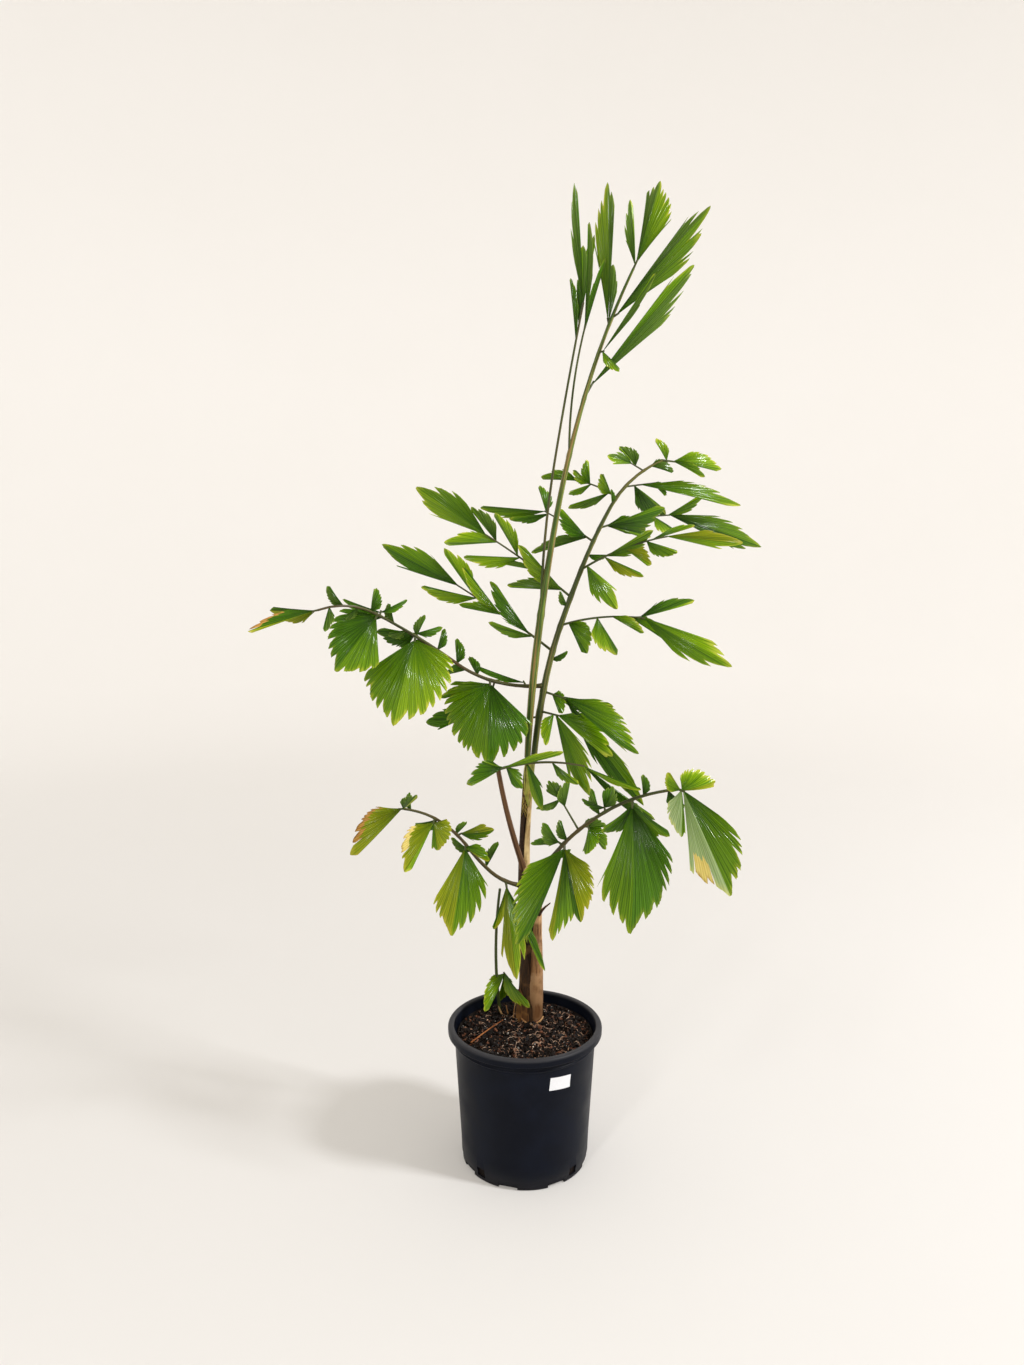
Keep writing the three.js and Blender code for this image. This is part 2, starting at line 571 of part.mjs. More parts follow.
// Cuts a solid off flat, a gap above the soil
function aboveSoil(solid) {
  const ground = new THREE.BoxGeometry(4 * RIM_RADIUS, 4 * RIM_RADIUS, SOIL_LEVEL);
  ground.translate(0, 0, SOIL_LEVEL / 2 + GAP);
  return solid.subtract(solidOf(ground));
}

function makeTrunk() {
  const trunk = new Limb(TRUNK.start, TRUNK, TRUNK_SIDES);
  limbs.set('trunk', trunk);
  keep('trunk', aboveSoil(trunk.tube()), BARK_FIBRE);
  const sheath = new Limb(CUT_BASE.start, CUT_BASE, TRUNK_SIDES);
  keep('cut_leaf_base', clearOf(aboveSoil(sheath.tube()), 'trunk'), TAN_SHEATH);
}

// The largest of a solid's loose pieces
function biggestPiece(solid) {
  const pieces = solid.decompose();
  return pieces.reduce((best, piece) => (piece.volume() > best.volume() ? piece : best));
}

// Cuts the space round the carrying limb, a gap clear of it, out of a solid
function clearOf(solid, carrierName) {
  return biggestPiece(solid.subtract(limbs.get(carrierName).tube(GAP)));
}

function makeStalk(row) {
  let start = row.from;
  if (!start) {
    start = limbs.get(row.on).at(row.place);
    start.add(new THREE.Vector3(row.aside ?? 0, 0, row.rise ?? 0));
  }
  const limb = new Limb(start, row, STALK_SIDES);
  limbs.set(row.name, limb);
  const solid = limb.tube();
  keep(row.name, row.on ? clearOf(solid, row.on) : aboveSoil(solid), row.material);
}

function makeRib(row) {
  const carrier = limbs.get(row.on);
  const start = carrier.at(row.place);
  if (row.place === 1) {
    start.addScaledVector(carrier.direction(1), 2 * GAP);
  }
  const rib = new Limb(start, row, RIB_SIDES);
  limbs.set(row.name, rib);
  keep(row.name, clearOf(rib.tube(), row.on), row.material);
}

// Hangs the leaflets on a rib. One that would touch another piece swings forward or back until
// it is clear, and is left out where it never is.
function hangLeaflets(row) {
  const rib = limbs.get(row.name);
  row.leaflets.forEach(([place, reach, width, bearing, outline], index) => {
    const turn = Math.sin((index + 1) * GOLDEN_TURN);
    const side = index % 2 === 0 ? 1 : -1;
    const roll = side * row.roll + ROLL_SWING * turn;
    for (const swing of CLEARING_SWINGS) {
      const lean = row.lean + LEAN_SWING * turn + swing;
      const leaf = blade(rib.at(place), { reach, width, bearing, outline }, lean, roll);
      if (!touches(leaf, row.name)) {
        keep(row.name, solids.get(row.name).add(leaf), row.material);
        return;
      }
    }
  });
}

makePot();
makeSoil();
makeTrunk();
STALKS.forEach(makeStalk);
PINNAE.forEach(makeRib);
PINNAE.forEach(hangLeaflets);

// Each solid becomes a mesh placed at its own lowest corner
const palm = new THREE.Group();
for (const [name, solid] of solids) {
  const geometry = geometryOf(solid);
  geometry.computeBoundingBox();
  const corner = geometry.boundingBox.min.clone().round();
  geometry.translate(-corner.x, -corner.y, -corner.z);
  const mesh = new THREE.Mesh(geometry, materials.get(name));
  mesh.name = name;
  mesh.position.copy(corner);
  palm.add(mesh);
}

export default palm;
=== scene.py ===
"""Looks of a potted clustering fishtail palm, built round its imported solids.

Sizes are millimetres and become metres when a mesh is made. +Z is up and -Y is the front.
Stalks, ribs and leaflets are read from the front: a bearing of 0 degrees points right, 90 up
and 180 left, a reach is the length seen from the front, and a lean is how far a piece comes
forward, out of that plane, in degrees.
"""

import logging
import math
from collections.abc import Callable, Sequence
from dataclasses import dataclass, field, replace
from enum import Enum

import bpy
import numpy as np
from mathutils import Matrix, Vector, noise


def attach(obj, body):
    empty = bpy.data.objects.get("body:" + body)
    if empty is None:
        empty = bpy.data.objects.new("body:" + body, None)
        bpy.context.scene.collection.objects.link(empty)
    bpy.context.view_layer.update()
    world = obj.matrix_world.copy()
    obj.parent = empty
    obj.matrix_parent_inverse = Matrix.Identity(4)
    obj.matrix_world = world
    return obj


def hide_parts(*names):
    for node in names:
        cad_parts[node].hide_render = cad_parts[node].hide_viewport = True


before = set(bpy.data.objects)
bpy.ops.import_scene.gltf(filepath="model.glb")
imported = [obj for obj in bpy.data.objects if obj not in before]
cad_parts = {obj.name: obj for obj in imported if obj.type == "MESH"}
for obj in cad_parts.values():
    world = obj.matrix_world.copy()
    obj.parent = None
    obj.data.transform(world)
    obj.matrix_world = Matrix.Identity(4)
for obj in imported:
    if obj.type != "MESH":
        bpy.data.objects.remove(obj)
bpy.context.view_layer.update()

LOG = logging.getLogger("palm")
MM = 0.001

# Growth rules shared with the solids
GROWTH_STEPS = 24
GOLDEN_TURN = 2.4
LEAN_SWING = 14
ROLL_SWING = 12
CLEARING_SWINGS = (0, 14, -14, 28, -28, 42, -42)
WIDEST_SPREAD = 0.95
LEAF_ROOT = 2.2
SUNK = 3
SOIL_LEVEL = 212
STEM_RISE = 0.6


def linear(code: str) -> tuple[float, float, float, float]:
    """Turns an sRGB hex colour to linear light.

    Args:
        code: Six hex digits after a hash.

    Returns:
        Red, green, blue and an alpha of 1.
    """
    parts = [int(code[at:at + 2], 16) / 255 for at in (1, 3, 5)]
    red, green, blue = (p / 12.92 if p <= 0.04045 else ((p + 0.055) / 1.055) ** 2.4 for p in parts)
    return red, green, blue, 1.0


Socket = bpy.types.NodeSocket


def feed(tree: bpy.types.NodeTree, node: bpy.types.Node, inputs: dict) -> None:
    """Sets sockets of a node.

    Args:
        tree: Node tree of the node.
        node: The node.
        inputs: Socket name or number to a value, or to the output that feeds it.
    """
    for key, value in inputs.items():
        if isinstance(value, Socket):
            tree.links.new(value, node.inputs[key])
        else:
            node.inputs[key].default_value = value


def add_node(
    tree: bpy.types.NodeTree, kind: str, inputs: dict | None = None, **settings: object
) -> bpy.types.Node:
    """Adds a node with its settings, the values of its free sockets and its links.

    Args:
        tree: Node tree that gets the node.
        kind: Blender's name of the node type.
        inputs: Socket name or number to a value, or to the output that feeds it.
        settings: Properties of the node.

    Returns:
        The new node.
    """
    node = tree.nodes.new(kind)
    for name, value in settings.items():
        setattr(node, name, value)
    feed(tree, node, inputs or {})
    return node


def per_mm(size: float) -> float:
    """Texture scale whose pattern repeats about every given number of millimetres."""
    return 1 / (size * MM)


def mixed(tree: bpy.types.NodeTree, share: Socket, first: Socket | str, second: str) -> Socket:
    """Colour between two, each an output or a hex colour, by the share of the second."""
    start = linear(first) if isinstance(first, str) else first
    inputs = {0: share, 6: start, 7: linear(second)}
    return add_node(tree, "ShaderNodeMix", inputs, data_type="RGBA").outputs[2]


def remapped(
    tree: bpy.types.NodeTree, value: Socket, given: tuple[float, float],
    wanted: tuple[float, float] = (0.0, 1.0),
) -> Socket:
    """Value moved from a given range to a wanted one, and held inside it."""
    inputs = {"Value": value, 1: given[0], 2: given[1], 3: wanted[0], 4: wanted[1]}
    return add_node(tree, "ShaderNodeMapRange", inputs).outputs["Result"]


def calculated(tree: bpy.types.NodeTree, operation: str, *values: Socket | float) -> Socket:
    """Result of one operation on outputs and numbers."""
    return add_node(tree, "ShaderNodeMath", dict(enumerate(values)), operation=operation).outputs[0]


def stretched(tree: bpy.types.NodeTree, place: Socket, factors: tuple[float, float, float]) -> Socket:
    """Place multiplied along each axis."""
    return add_node(tree, "ShaderNodeVectorMath", {0: place, 1: factors}, operation="MULTIPLY").outputs[0]


def pattern(
    tree: bpy.types.NodeTree, place: Socket, scale: float, detail: float, rough: float = 0.5
) -> Socket:
    """Noise between 0 and 1 at a place."""
    inputs = {"Vector": place, "Scale": scale, "Detail": detail, "Roughness": rough}
    return add_node(tree, "ShaderNodeTexNoise", inputs).outputs["Fac"]


def own_value(tree: bpy.types.NodeTree, name: str) -> Socket:
    """Value that the mesh carries under a name."""
    return add_node(tree, "ShaderNodeAttribute", attribute_name=name).outputs["Fac"]


def on_ribs(tree: bpy.types.NodeTree) -> Socket:
    """Pattern coordinates that follow the ribs of a leaflet or the skin of a stalk."""
    return add_node(tree, "ShaderNodeUVMap", uv_map="ribs").outputs["UV"]


def on_object(tree: bpy.types.NodeTree) -> Socket:
    """Place on the object, in metres."""
    return add_node(tree, "ShaderNodeTexCoord").outputs["Object"]


def raised(tree: bpy.types.NodeTree, height: Socket, strength: float, depth: float) -> Socket:
    """Normal of a relief with a depth in millimetres."""
    inputs = {"Height": height, "Strength": strength, "Distance": depth * MM}
    return add_node(tree, "ShaderNodeBump", inputs).outputs["Normal"]


@dataclass(frozen=True)
class Finish:
    """A procedural finish on one Principled shader."""

    name: str
    roughness: float = 0.5

    def build(self) -> bpy.types.Material:
        """Makes the material.

        Returns:
            The material, with its colour, roughness and relief driven by nodes.
        """
        material = bpy.data.materials.new(self.name)
        material.use_nodes = True
        tree = material.node_tree
        tree.nodes.clear()
        shader = add_node(tree, "ShaderNodeBsdfPrincipled", {"Roughness": self.roughness})
        add_node(tree, "ShaderNodeOutputMaterial", {"Surface": shader.outputs["BSDF"]})
        feed(tree, shader, self.dress(tree))
        return material

    def dress(self, tree: bpy.types.NodeTree) -> dict:
        """What feeds the shader. Each finish has its own way."""
        raise NotImplementedError


@dataclass(frozen=True)
class LeafFinish(Finish):
    """Living palm leaflet: waxy, fan-nerved cuticle over soft green tissue.

    The blade is deep green by its rib and yellower toward the margin, in streaks that follow its
    rays. Fine pleats run out to the margin and break the gloss into streaks.
    """

    dark: str = "#35581d"
    light: str = "#527a24"
    under: str = "#6d8a4c"
    margin: str = "#a3a548"
    margin_from: float = 0.95
    coat: float = 0.35
    relief_mm: float = 0.2

    OWN_PATTERN = 40.0
    STREAKS_PER_RAY = (0.9, 0.9, 1.0)
    OUTWARD_SHARE = 0.5
    STRIPE_SHARE = 0.14
    RAGGED_SHARE = 0.3
    PLEAT_SHARE = 0.45
    GREENS = (0.5, 1.05)
    MARGIN_SOFT = 0.13
    MARGIN_END = 1.17
    MARGIN_MOST = 0.75
    VALUES = (0.84, 1.16)
    SCATTER_RADIUS = (0.7, 1.0, 0.15)
    SCATTER_MM = 1.6

    def dress(self, tree: bpy.types.NodeTree) -> dict:
        """Streaks and pleats, a paler underside and a dry margin."""
        axes = add_node(tree, "ShaderNodeSeparateXYZ", {0: on_ribs(tree)}).outputs
        ray, out = axes["X"], axes["Y"]
        own = own_value(tree, "shade")
        shift = calculated(tree, "MULTIPLY", own, self.OWN_PATTERN)
        sheet = add_node(tree, "ShaderNodeCombineXYZ", {0: ray, 1: out, 2: shift}).outputs[0]
        streaks = pattern(tree, stretched(tree, sheet, self.STREAKS_PER_RAY), 1.0, detail=4.0, rough=0.6)
        stripe = calculated(tree, "SINE", calculated(tree, "MULTIPLY", ray, 2 * math.pi))
        outward = calculated(tree, "MULTIPLY_ADD", out, self.OUTWARD_SHARE, streaks)
        lined = calculated(tree, "MULTIPLY_ADD", stripe, self.STRIPE_SHARE, outward)
        green = mixed(tree, remapped(tree, lined, self.GREENS), self.dark, self.light)
        ragged = calculated(tree, "MULTIPLY_ADD", streaks, self.RAGGED_SHARE, out)
        margin = (self.margin_from + self.MARGIN_SOFT, self.MARGIN_END)
        edge = remapped(tree, ragged, margin, (0.0, self.MARGIN_MOST))
        sided = mixed(tree, own_value(tree, "under"), mixed(tree, edge, green, self.margin), self.under)
        tone = {"Color": sided, "Value": remapped(tree, own, (-1.0, 1.0), self.VALUES)}
        shaded = add_node(tree, "ShaderNodeHueSaturation", tone).outputs[0]
        pleats = calculated(tree, "MULTIPLY_ADD", stripe, self.PLEAT_SHARE, streaks)
        normal = raised(tree, pleats, 1.0, self.relief_mm)
        return {
            "Base Color": shaded,
            "Roughness": remapped(tree, streaks, (0.3, 0.7), (self.roughness - 0.07, self.roughness + 0.1)),
            "Normal": normal,
            "Coat Normal": normal,
            "Specular IOR Level": 0.02,
            "Coat Weight": self.coat,
            "Coat IOR": 1.35,
            "Coat Roughness": 0.12,
            "Subsurface Weight": 0.15,
            "Subsurface Radius": self.SCATTER_RADIUS,
            "Subsurface Scale": self.SCATTER_MM * MM,
        }


@dataclass(frozen=True)
class StalkFinish(Finish):
    """Living palm stalk: smooth ribbed skin, streaked lengthwise, with painted light: yellower on its right
    side, which faces the key light.
    """

    green: str = "#5f7336"
    streak: str = "#3b4a20"
    brown: str = "#7d6a3a"
    brown_share: float = 0.25
    painted_lit_side: str = "#8f9444"

    STREAKS_PER_MM = (1.1, 0.018, 1.0)
    BROAD_SCALE = 0.27
    STREAKS = (0.4, 0.62)
    PAINTED_LIT_FACING = (0.1, 0.75)
    PAINTED_LIT_MOST = 0.8
    BROWN = (0.62, 0.75)
    RELIEF_MM = 0.35

    def dress(self, tree: bpy.types.NodeTree) -> dict:
        """Streaks that follow the stalk, a painted lit side and brown patches."""
        long = stretched(tree, on_ribs(tree), self.STREAKS_PER_MM)
        fine = pattern(tree, long, 1.0, detail=3.0)
        broad = pattern(tree, long, self.BROAD_SCALE, detail=1.0)
        # Painted light: the side of the stalk that faces right, toward the key light, turns yellower.
        painted_lit_side = remapped(tree, own_value(tree, "shade"), self.PAINTED_LIT_FACING, (0.0, self.PAINTED_LIT_MOST))
        skin = mixed(tree, painted_lit_side, self.green, self.painted_lit_side)
        lined = mixed(tree, remapped(tree, fine, self.STREAKS), skin, self.streak)
        low, high = (end - self.brown_share / 2 for end in self.BROWN)
        return {
            "Base Color": mixed(tree, remapped(tree, broad, (low, high)), lined, self.brown),
            "Normal": raised(tree, fine, 0.5, self.RELIEF_MM),
            "Specular IOR Level": 0.15,
            "Coat Weight": 0.2,
            "Coat IOR": 1.3,
            "Coat Roughness": 0.25,
        }


@dataclass(frozen=True)
class FibreFinish(Finish):
    """Weathered palm leaf base: matted upright fibres, split and stained, with no gloss."""

    dark: str = "#2a1a0d"
    middle: str = "#6b4a2b"
    pale: str = "#a07a4c"
    # Colour that the fibres darken to near the soil.
    darker_foot: str = "#54341a"
    fibre_mm: float = 1.4
    stretch: float = 0.06
    pale_from: float = 0.6
    relief_mm: float = 1.2
    flecks: float = 0.0
    darker_foot_top_mm: float = 0.0

    STAIN_MM = 18
    FLECK_MM = 3.4
    THREADS = (0.38, 0.6)
    FLECKS = (0.62, 0.68)
    PALE_SOFT = (-0.12, 0.08)
    MOST = 0.85

    def dress(self, tree: bpy.types.NodeTree) -> dict:
        """Upright fibres, pale stains, dark flecks and a foot that darkens toward the soil."""
        place = on_object(tree)
        scale = {"Vector": place, "Scale": (1.0, 1.0, self.stretch)}
        upright = add_node(tree, "ShaderNodeMapping", scale).outputs[0]
        fibres = pattern(tree, upright, per_mm(self.fibre_mm), detail=4.0, rough=0.65)
        stains = pattern(tree, place, per_mm(self.STAIN_MM), detail=4.0)
        base = mixed(tree, remapped(tree, fibres, self.THREADS), self.dark, self.middle)
        low, high = (self.pale_from + soft for soft in self.PALE_SOFT)
        pale = mixed(tree, remapped(tree, stains, (low, high), (0.0, self.MOST)), base, self.pale)
        spots = pattern(tree, upright, per_mm(self.FLECK_MM), detail=2.0)
        fleck = remapped(tree, spots, self.FLECKS, (0.0, self.flecks))
        flecked = mixed(tree, fleck, pale, self.dark)
        # Darker toward the soil, up to a given height: a colour gradient by height alone.
        height = add_node(tree, "ShaderNodeSeparateXYZ", {0: place}).outputs["Z"]
        top = max(self.darker_foot_top_mm, SOIL_LEVEL + 1)
        darker_foot_most = self.MOST if self.darker_foot_top_mm else 0.0
        darker_foot = remapped(tree, height, (SOIL_LEVEL * MM, top * MM), (darker_foot_most, 0.0))
        return {
            "Base Color": mixed(tree, darker_foot, flecked, self.darker_foot),
            "Normal": raised(tree, fibres, 0.9, self.relief_mm),
            "Specular IOR Level": 0.25,
        }


@dataclass(frozen=True)
class PlasticFinish(Finish):
    """Injection-moulded polypropylene, black with a blue cast, satin, a little dusty low down, with a painted
    grey highlight round the top of its lip.
    """

    body: str = "#060a15"
    worn: str = "#0e1422"
    # Grey of the painted highlight along the top of the lip.
    lip_highlight: str = "#3a3a3d"
    dust: str = "#38342f"
    dust_height_mm: float = 26
    lip_highlight_from_mm: float = 223

    FLOW_MM = 45
    GRAIN_MM = 1.6
    LIP_HIGHLIGHT_SOFT_MM = 4
    RELIEF_MM = 0.15

    def dress(self, tree: bpy.types.NodeTree) -> dict:
        """Flow marks, fine grain, dust above the floor and a painted highlight on the lip."""
        place = on_object(tree)
        flow = pattern(tree, place, per_mm(self.FLOW_MM), detail=4.0)
        grain = pattern(tree, place, per_mm(self.GRAIN_MM), detail=2.0)
        skin = mixed(tree, remapped(tree, flow, (0.45, 0.75), (0.0, 0.55)), self.body, self.worn)
        height = add_node(tree, "ShaderNodeSeparateXYZ", {0: place}).outputs["Z"]
        low = remapped(tree, height, (0.0, self.dust_height_mm * MM), (0.5, 0.0))
        dusty = mixed(tree, calculated(tree, "MULTIPLY", low, grain), skin, self.dust)
        # Painted highlight: above this height the lip is coloured grey, where the light catches it.
        lip_highlight_band = (self.lip_highlight_from_mm * MM, (self.lip_highlight_from_mm + self.LIP_HIGHLIGHT_SOFT_MM) * MM)
        return {
            "Base Color": mixed(tree, remapped(tree, height, lip_highlight_band, (0.0, 0.85)), dusty, self.lip_highlight),
            "Roughness": remapped(tree, flow, (0.3, 0.7), (self.roughness - 0.06, self.roughness + 0.1)),
            "Normal": raised(tree, grain, 0.25, self.RELIEF_MM),
            "Specular IOR Level": 0.1,
        }


@dataclass(frozen=True)
class CrumbFinish(Finish):
    """Potting mix: composted bark and peat crumbs, matte, each crumb its own tone."""

    dark: str = "#060403"
    light: str = "#1d120b"
    grain_mm: float = 2.4
    relief_mm: float = 0.8

    OWN_SHARE = 0.5
    TONES = (0.2, 0.95)

    def dress(self, tree: bpy.types.NodeTree) -> dict:
        """A tone for each crumb and a crumbly grain."""
        grain = pattern(tree, on_object(tree), per_mm(self.grain_mm), detail=4.0)
        tone = calculated(tree, "MULTIPLY_ADD", own_value(tree, "shade"), self.OWN_SHARE, grain)
        return {
            "Base Color": mixed(tree, remapped(tree, tone, self.TONES), self.dark, self.light),
            "Normal": raised(tree, grain, 0.9, self.relief_mm),
            "Specular IOR Level": 0.16,
        }


@dataclass(frozen=True)
class PaperFinish(Finish):
    """Coated label paper, white, with a faint mottle of its fibres."""

    sheet: str = "#e6e7ea"
    mottle: str = "#d3d4d8"

    MOTTLE_MM = 1.5
    RELIEF_MM = 0.05

    def dress(self, tree: bpy.types.NodeTree) -> dict:
        """A mottle that is drawn coarser than real fibres, to show."""
        fibres = pattern(tree, on_object(tree), per_mm(self.MOTTLE_MM), detail=3.0)
        return {
            "Base Color": mixed(tree, fibres, self.sheet, self.mottle),
            "Normal": raised(tree, fibres, 0.2, self.RELIEF_MM),
        }


@dataclass(frozen=True)
class BackdropFinish(Finish):
    """Matte painted studio sweep, warm white, with a barely uneven coat."""

    coat: str = "#cac9c8"
    uneven: str = "#c8c7c5"
    glow: str = "#fcf6ee"
    floor_glow: float = 0.18
    wall_glow: float = 0.365
    glow_reach: tuple[float, float] = (0.6, 4.2)

    MARKS_MM = 700

    def dress(self, tree: bpy.types.NodeTree) -> dict:
        """Broad roller marks, and a glow that grows away from the plant."""
        place = on_object(tree)
        marks = pattern(tree, place, per_mm(self.MARKS_MM), detail=2.0)
        away = add_node(tree, "ShaderNodeVectorMath", {0: place}, operation="LENGTH").outputs["Value"]
        return {
            "Base Color": mixed(tree, marks, self.coat, self.uneven),
            "Specular IOR Level": 0.05,
            "Emission Color": linear(self.glow),
            "Emission Strength": remapped(tree, away, self.glow_reach, (self.floor_glow, self.wall_glow)),
        }


class Tone(Enum):
    """Greens of the leaflets, dealt out piece by piece, and the colours of drying ends."""

    SPEAR = LeafFinish("new_leaflet_waxy_cuticle", 0.45, dark="#233e0a", light="#526c23",
                       under="#6a803f", margin="#8a9a40", coat=0.36)
    # Painted light and shade: DEEP, MIDDLE and BRIGHT are shaded, half-lit and lit copies of one leaflet
    # green, dealt to leaflets and their halves; DEEP and MIDDLE also stand for older and grown leaflets.
    DEEP = LeafFinish("shaded_old_leaflet_waxy_cuticle", 0.4, dark="#152e00", light="#42690a",
                      under="#4f6a26", margin="#7a8426", coat=0.51)
    MIDDLE = LeafFinish("grown_leaflet_waxy_cuticle", 0.4, dark="#204300", light="#5b7d04",
                        under="#5f7a2a", margin="#9aa02c", coat=0.58)
    BRIGHT = LeafFinish("lit_leaflet_waxy_cuticle", 0.38, dark="#355b00", light="#738f07",
                        under="#7f9a35", margin="#c0bc44", coat=0.72)
    TIPPED = LeafFinish("yellow_tipped_leaflet_cuticle", 0.4, dark="#2f5400", light="#749406",
                        under="#7f9a35", margin="#b6b446", margin_from=0.84, coat=0.58)
    OLIVE = LeafFinish("fading_leaflet_cuticle", 0.42, dark="#465c04", light="#858d10",
                       under="#858d2e", margin="#a9a036", margin_from=0.92, coat=0.51)
    # PALE is a paler underside green, and where it is dealt it also paints the sheen of glossy patches.
    PALE = LeafFinish("pale_leaflet_underside", 0.5, dark="#66803e", light="#a4b684",
                      under="#b4c086", margin="#c9c873", margin_from=0.9, coat=0.43)
    YELLOW = LeafFinish("yellowed_leaflet_tissue", 0.5, dark="#b3953c", light="#dccb7c",
                        under="#c9b062", margin="#8a5a26", coat=0.05)
    DRY = LeafFinish("dried_leaflet_tissue", 0.7, dark="#6d4418", light="#b58a48",
                     under="#a0783c", margin="#4a2c12", coat=0.0, relief_mm=0.4)


def deselect() -> None:
    """Leaves edit mode and deselects everything."""
    if bpy.context.object and bpy.context.object.mode != "OBJECT":
        bpy.ops.object.mode_set(mode="OBJECT")
    bpy.ops.object.select_all(action="DESELECT")


def select_only(obj: bpy.types.Object) -> None:
    """Makes one object the selected and active one."""
    deselect()
    obj.select_set(True)
    bpy.context.view_layer.objects.active = obj


def apply_modifier(obj: bpy.types.Object, kind: str, **settings: object) -> None:
    """Adds a modifier with its settings and applies it.

    Args:
        obj: Object that gets it.
        kind: Blender's name of the modifier type.
        settings: Properties of the modifier.
    """
    select_only(obj)
    modifier = obj.modifiers.new(kind.lower(), kind)
    for name, value in settings.items():
        setattr(modifier, name, value)
    bpy.ops.object.modifier_apply(modifier=modifier.name)


def face_outward(obj: bpy.types.Object) -> None:
    """Turns the faces of a mesh outward."""
    select_only(obj)
    bpy.ops.object.mode_set(mode="EDIT")
    bpy.ops.mesh.select_all(action="SELECT")
    bpy.ops.mesh.normals_make_consistent(inside=False)
    bpy.ops.object.mode_set(mode="OBJECT")


def lofted(
    sides: int, centres: Sequence[Sequence[float]], radii: Sequence[float],
    insets: int = 0, inset: float = 0.0,
) -> bpy.types.Object:
    """Extrudes a closed round solid from ring to ring.

    Args:
        sides: Corners round it.
        centres: Centre of each ring in millimetres.
        radii: Radius of each ring in millimetres.
        insets: Number of rings that divide its last face.
        inset: Width of such a ring in millimetres.

    Returns:
        The solid.
    """
    places = np.array(centres, float) * MM
    deselect()
    bpy.ops.mesh.primitive_circle_add(
        vertices=sides, radius=radii[0] * MM, location=places[0], fill_type="NGON"
    )
    solid = bpy.context.object
    bpy.ops.object.transform_apply(location=True, rotation=True, scale=True)
    bpy.ops.object.mode_set(mode="EDIT")
    bpy.ops.mesh.select_all(action="SELECT")
    for ring in range(1, len(radii)):
        factor = radii[ring] / radii[ring - 1]
        bpy.ops.mesh.extrude_region_move(TRANSFORM_OT_translate={"value": places[ring] - places[ring - 1]})
        bpy.ops.transform.resize(value=(factor, factor, 1), center_override=places[ring])
    for _ in range(insets):
        bpy.ops.mesh.inset(thickness=inset * MM)
    if insets:
        bpy.ops.mesh.poke()
    face_outward(solid)
    return solid


def dressed(
    obj: bpy.types.Object, name: str, material: bpy.types.Material, angle: float = 35
) -> bpy.types.Object:
    """Names a piece, gives it its finish, and lets it ride on the plant.

    Args:
        obj: The piece, in place at the origin.
        name: Its name.
        material: Its finish.
        angle: Edges sharper than this many degrees stay sharp.

    Returns:
        The same object.
    """
    select_only(obj)
    obj.name = name
    obj.data.name = name
    obj.data.materials.clear()
    obj.data.materials.append(material)
    bpy.ops.object.shade_smooth_by_angle(angle=math.radians(angle))
    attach(obj, "root")
    LOG.info("%s: %d faces", name, len(obj.data.polygons))
    return obj


@dataclass
class MeshSum:
    """Many small shapes joined into one mesh, grown from arrays in millimetres."""

    vertices: list[np.ndarray] = field(default_factory=list)
    faces: list[list[int]] = field(default_factory=list)
    uvs: list[np.ndarray] = field(default_factory=list)
    under: list[np.ndarray] = field(default_factory=list)
    shade: list[np.ndarray] = field(default_factory=list)
    count: int = 0

    def add(
        self, vertices: np.ndarray, faces: Sequence[Sequence[int]], uv: np.ndarray | None = None,
        under: np.ndarray | None = None, shade: float | np.ndarray = 0.0,
    ) -> None:
        """Adds one shape.

        Args:
            vertices: Its points, one row each.
            faces: Its faces, numbered within the shape.
            uv: Two pattern coordinates for each point.
            under: 1 for each point on an underside, else 0.
            shade: Its own tone, -1 to 1, for the whole shape or for each point; a stalk gives how far each
                point faces right, which its finish turns into painted light.
        """
        number = len(vertices)
        self.vertices.append(vertices)
        self.faces.extend([[index + self.count for index in face] for face in faces])
        self.uvs.append(np.zeros((number, 2)) if uv is None else uv)
        self.under.append(np.zeros(number) if under is None else under)
        self.shade.append(np.full(number, shade))
        self.count += number

    def make(self, name: str) -> bpy.types.Object:
        """Makes the joined mesh object.

        Args:
            name: Name of the object.

        Returns:
            The object, linked to the scene.
        """
        mesh = bpy.data.meshes.new(name)
        points = np.vstack(self.vertices) * MM
        mesh.from_pydata(points.tolist(), [], self.faces)
        corners = np.empty(len(mesh.loops), np.int32)
        mesh.loops.foreach_get("vertex_index", corners)
        layer = mesh.uv_layers.new(name="ribs")
        layer.uv.foreach_set("vector", np.vstack(self.uvs)[corners].ravel().astype(np.float32))
        for label, values in (("under", self.under), ("shade", self.shade)):
            marks = mesh.attributes.new(label, "FLOAT", "POINT")
            marks.data.foreach_set("value", np.concatenate(values).astype(np.float32))
        obj = bpy.data.objects.new(name, mesh)
        bpy.context.scene.collection.objects.link(obj)
        return obj

    def piece(self, name: str, finish: Finish, slot: str, angle: float = 35) -> bpy.types.Object:
        """Makes the joined mesh and dresses it in a new material."""
        return dressed(self.make(name), name, finish.build(), angle)


def tube_faces(sides: int, rings: int) -> list[list[int]]:
    """Faces of a closed tube.

    Args:
        sides: Corners round it.
        rings: Lengths along it.

    Returns:
        Its walls, then its two ends.
    """
    faces = []
    for low in range(0, rings * sides, sides):
        for corner in range(sides):
            after = (corner + 1) % sides
            faces.append([low + corner, low + after, low + sides + after, low + sides + corner])
    faces.append(list(range(sides - 1, -1, -1)))
    faces.append([rings * sides + corner for corner in range(sides)])
    return faces


def reading(values: Sequence[float], t: float | np.ndarray) -> float | np.ndarray:
    """Value at t, 0 to 1, along a list of evenly spaced readings."""
    return np.interp(t, np.linspace(0, 1, len(values)), values)


def heading(reach: float, bearing: float, lean: float) -> np.ndarray:
    """Step in space of a given reach, bearing and lean."""
    turn = math.radians(bearing)
    return reach * np.array([math.cos(turn), -math.tan(math.radians(lean)), math.sin(turn)])


def unit(vector: np.ndarray) -> np.ndarray:
    """The same direction with a length of 1."""
    return vector / np.linalg.norm(vector)


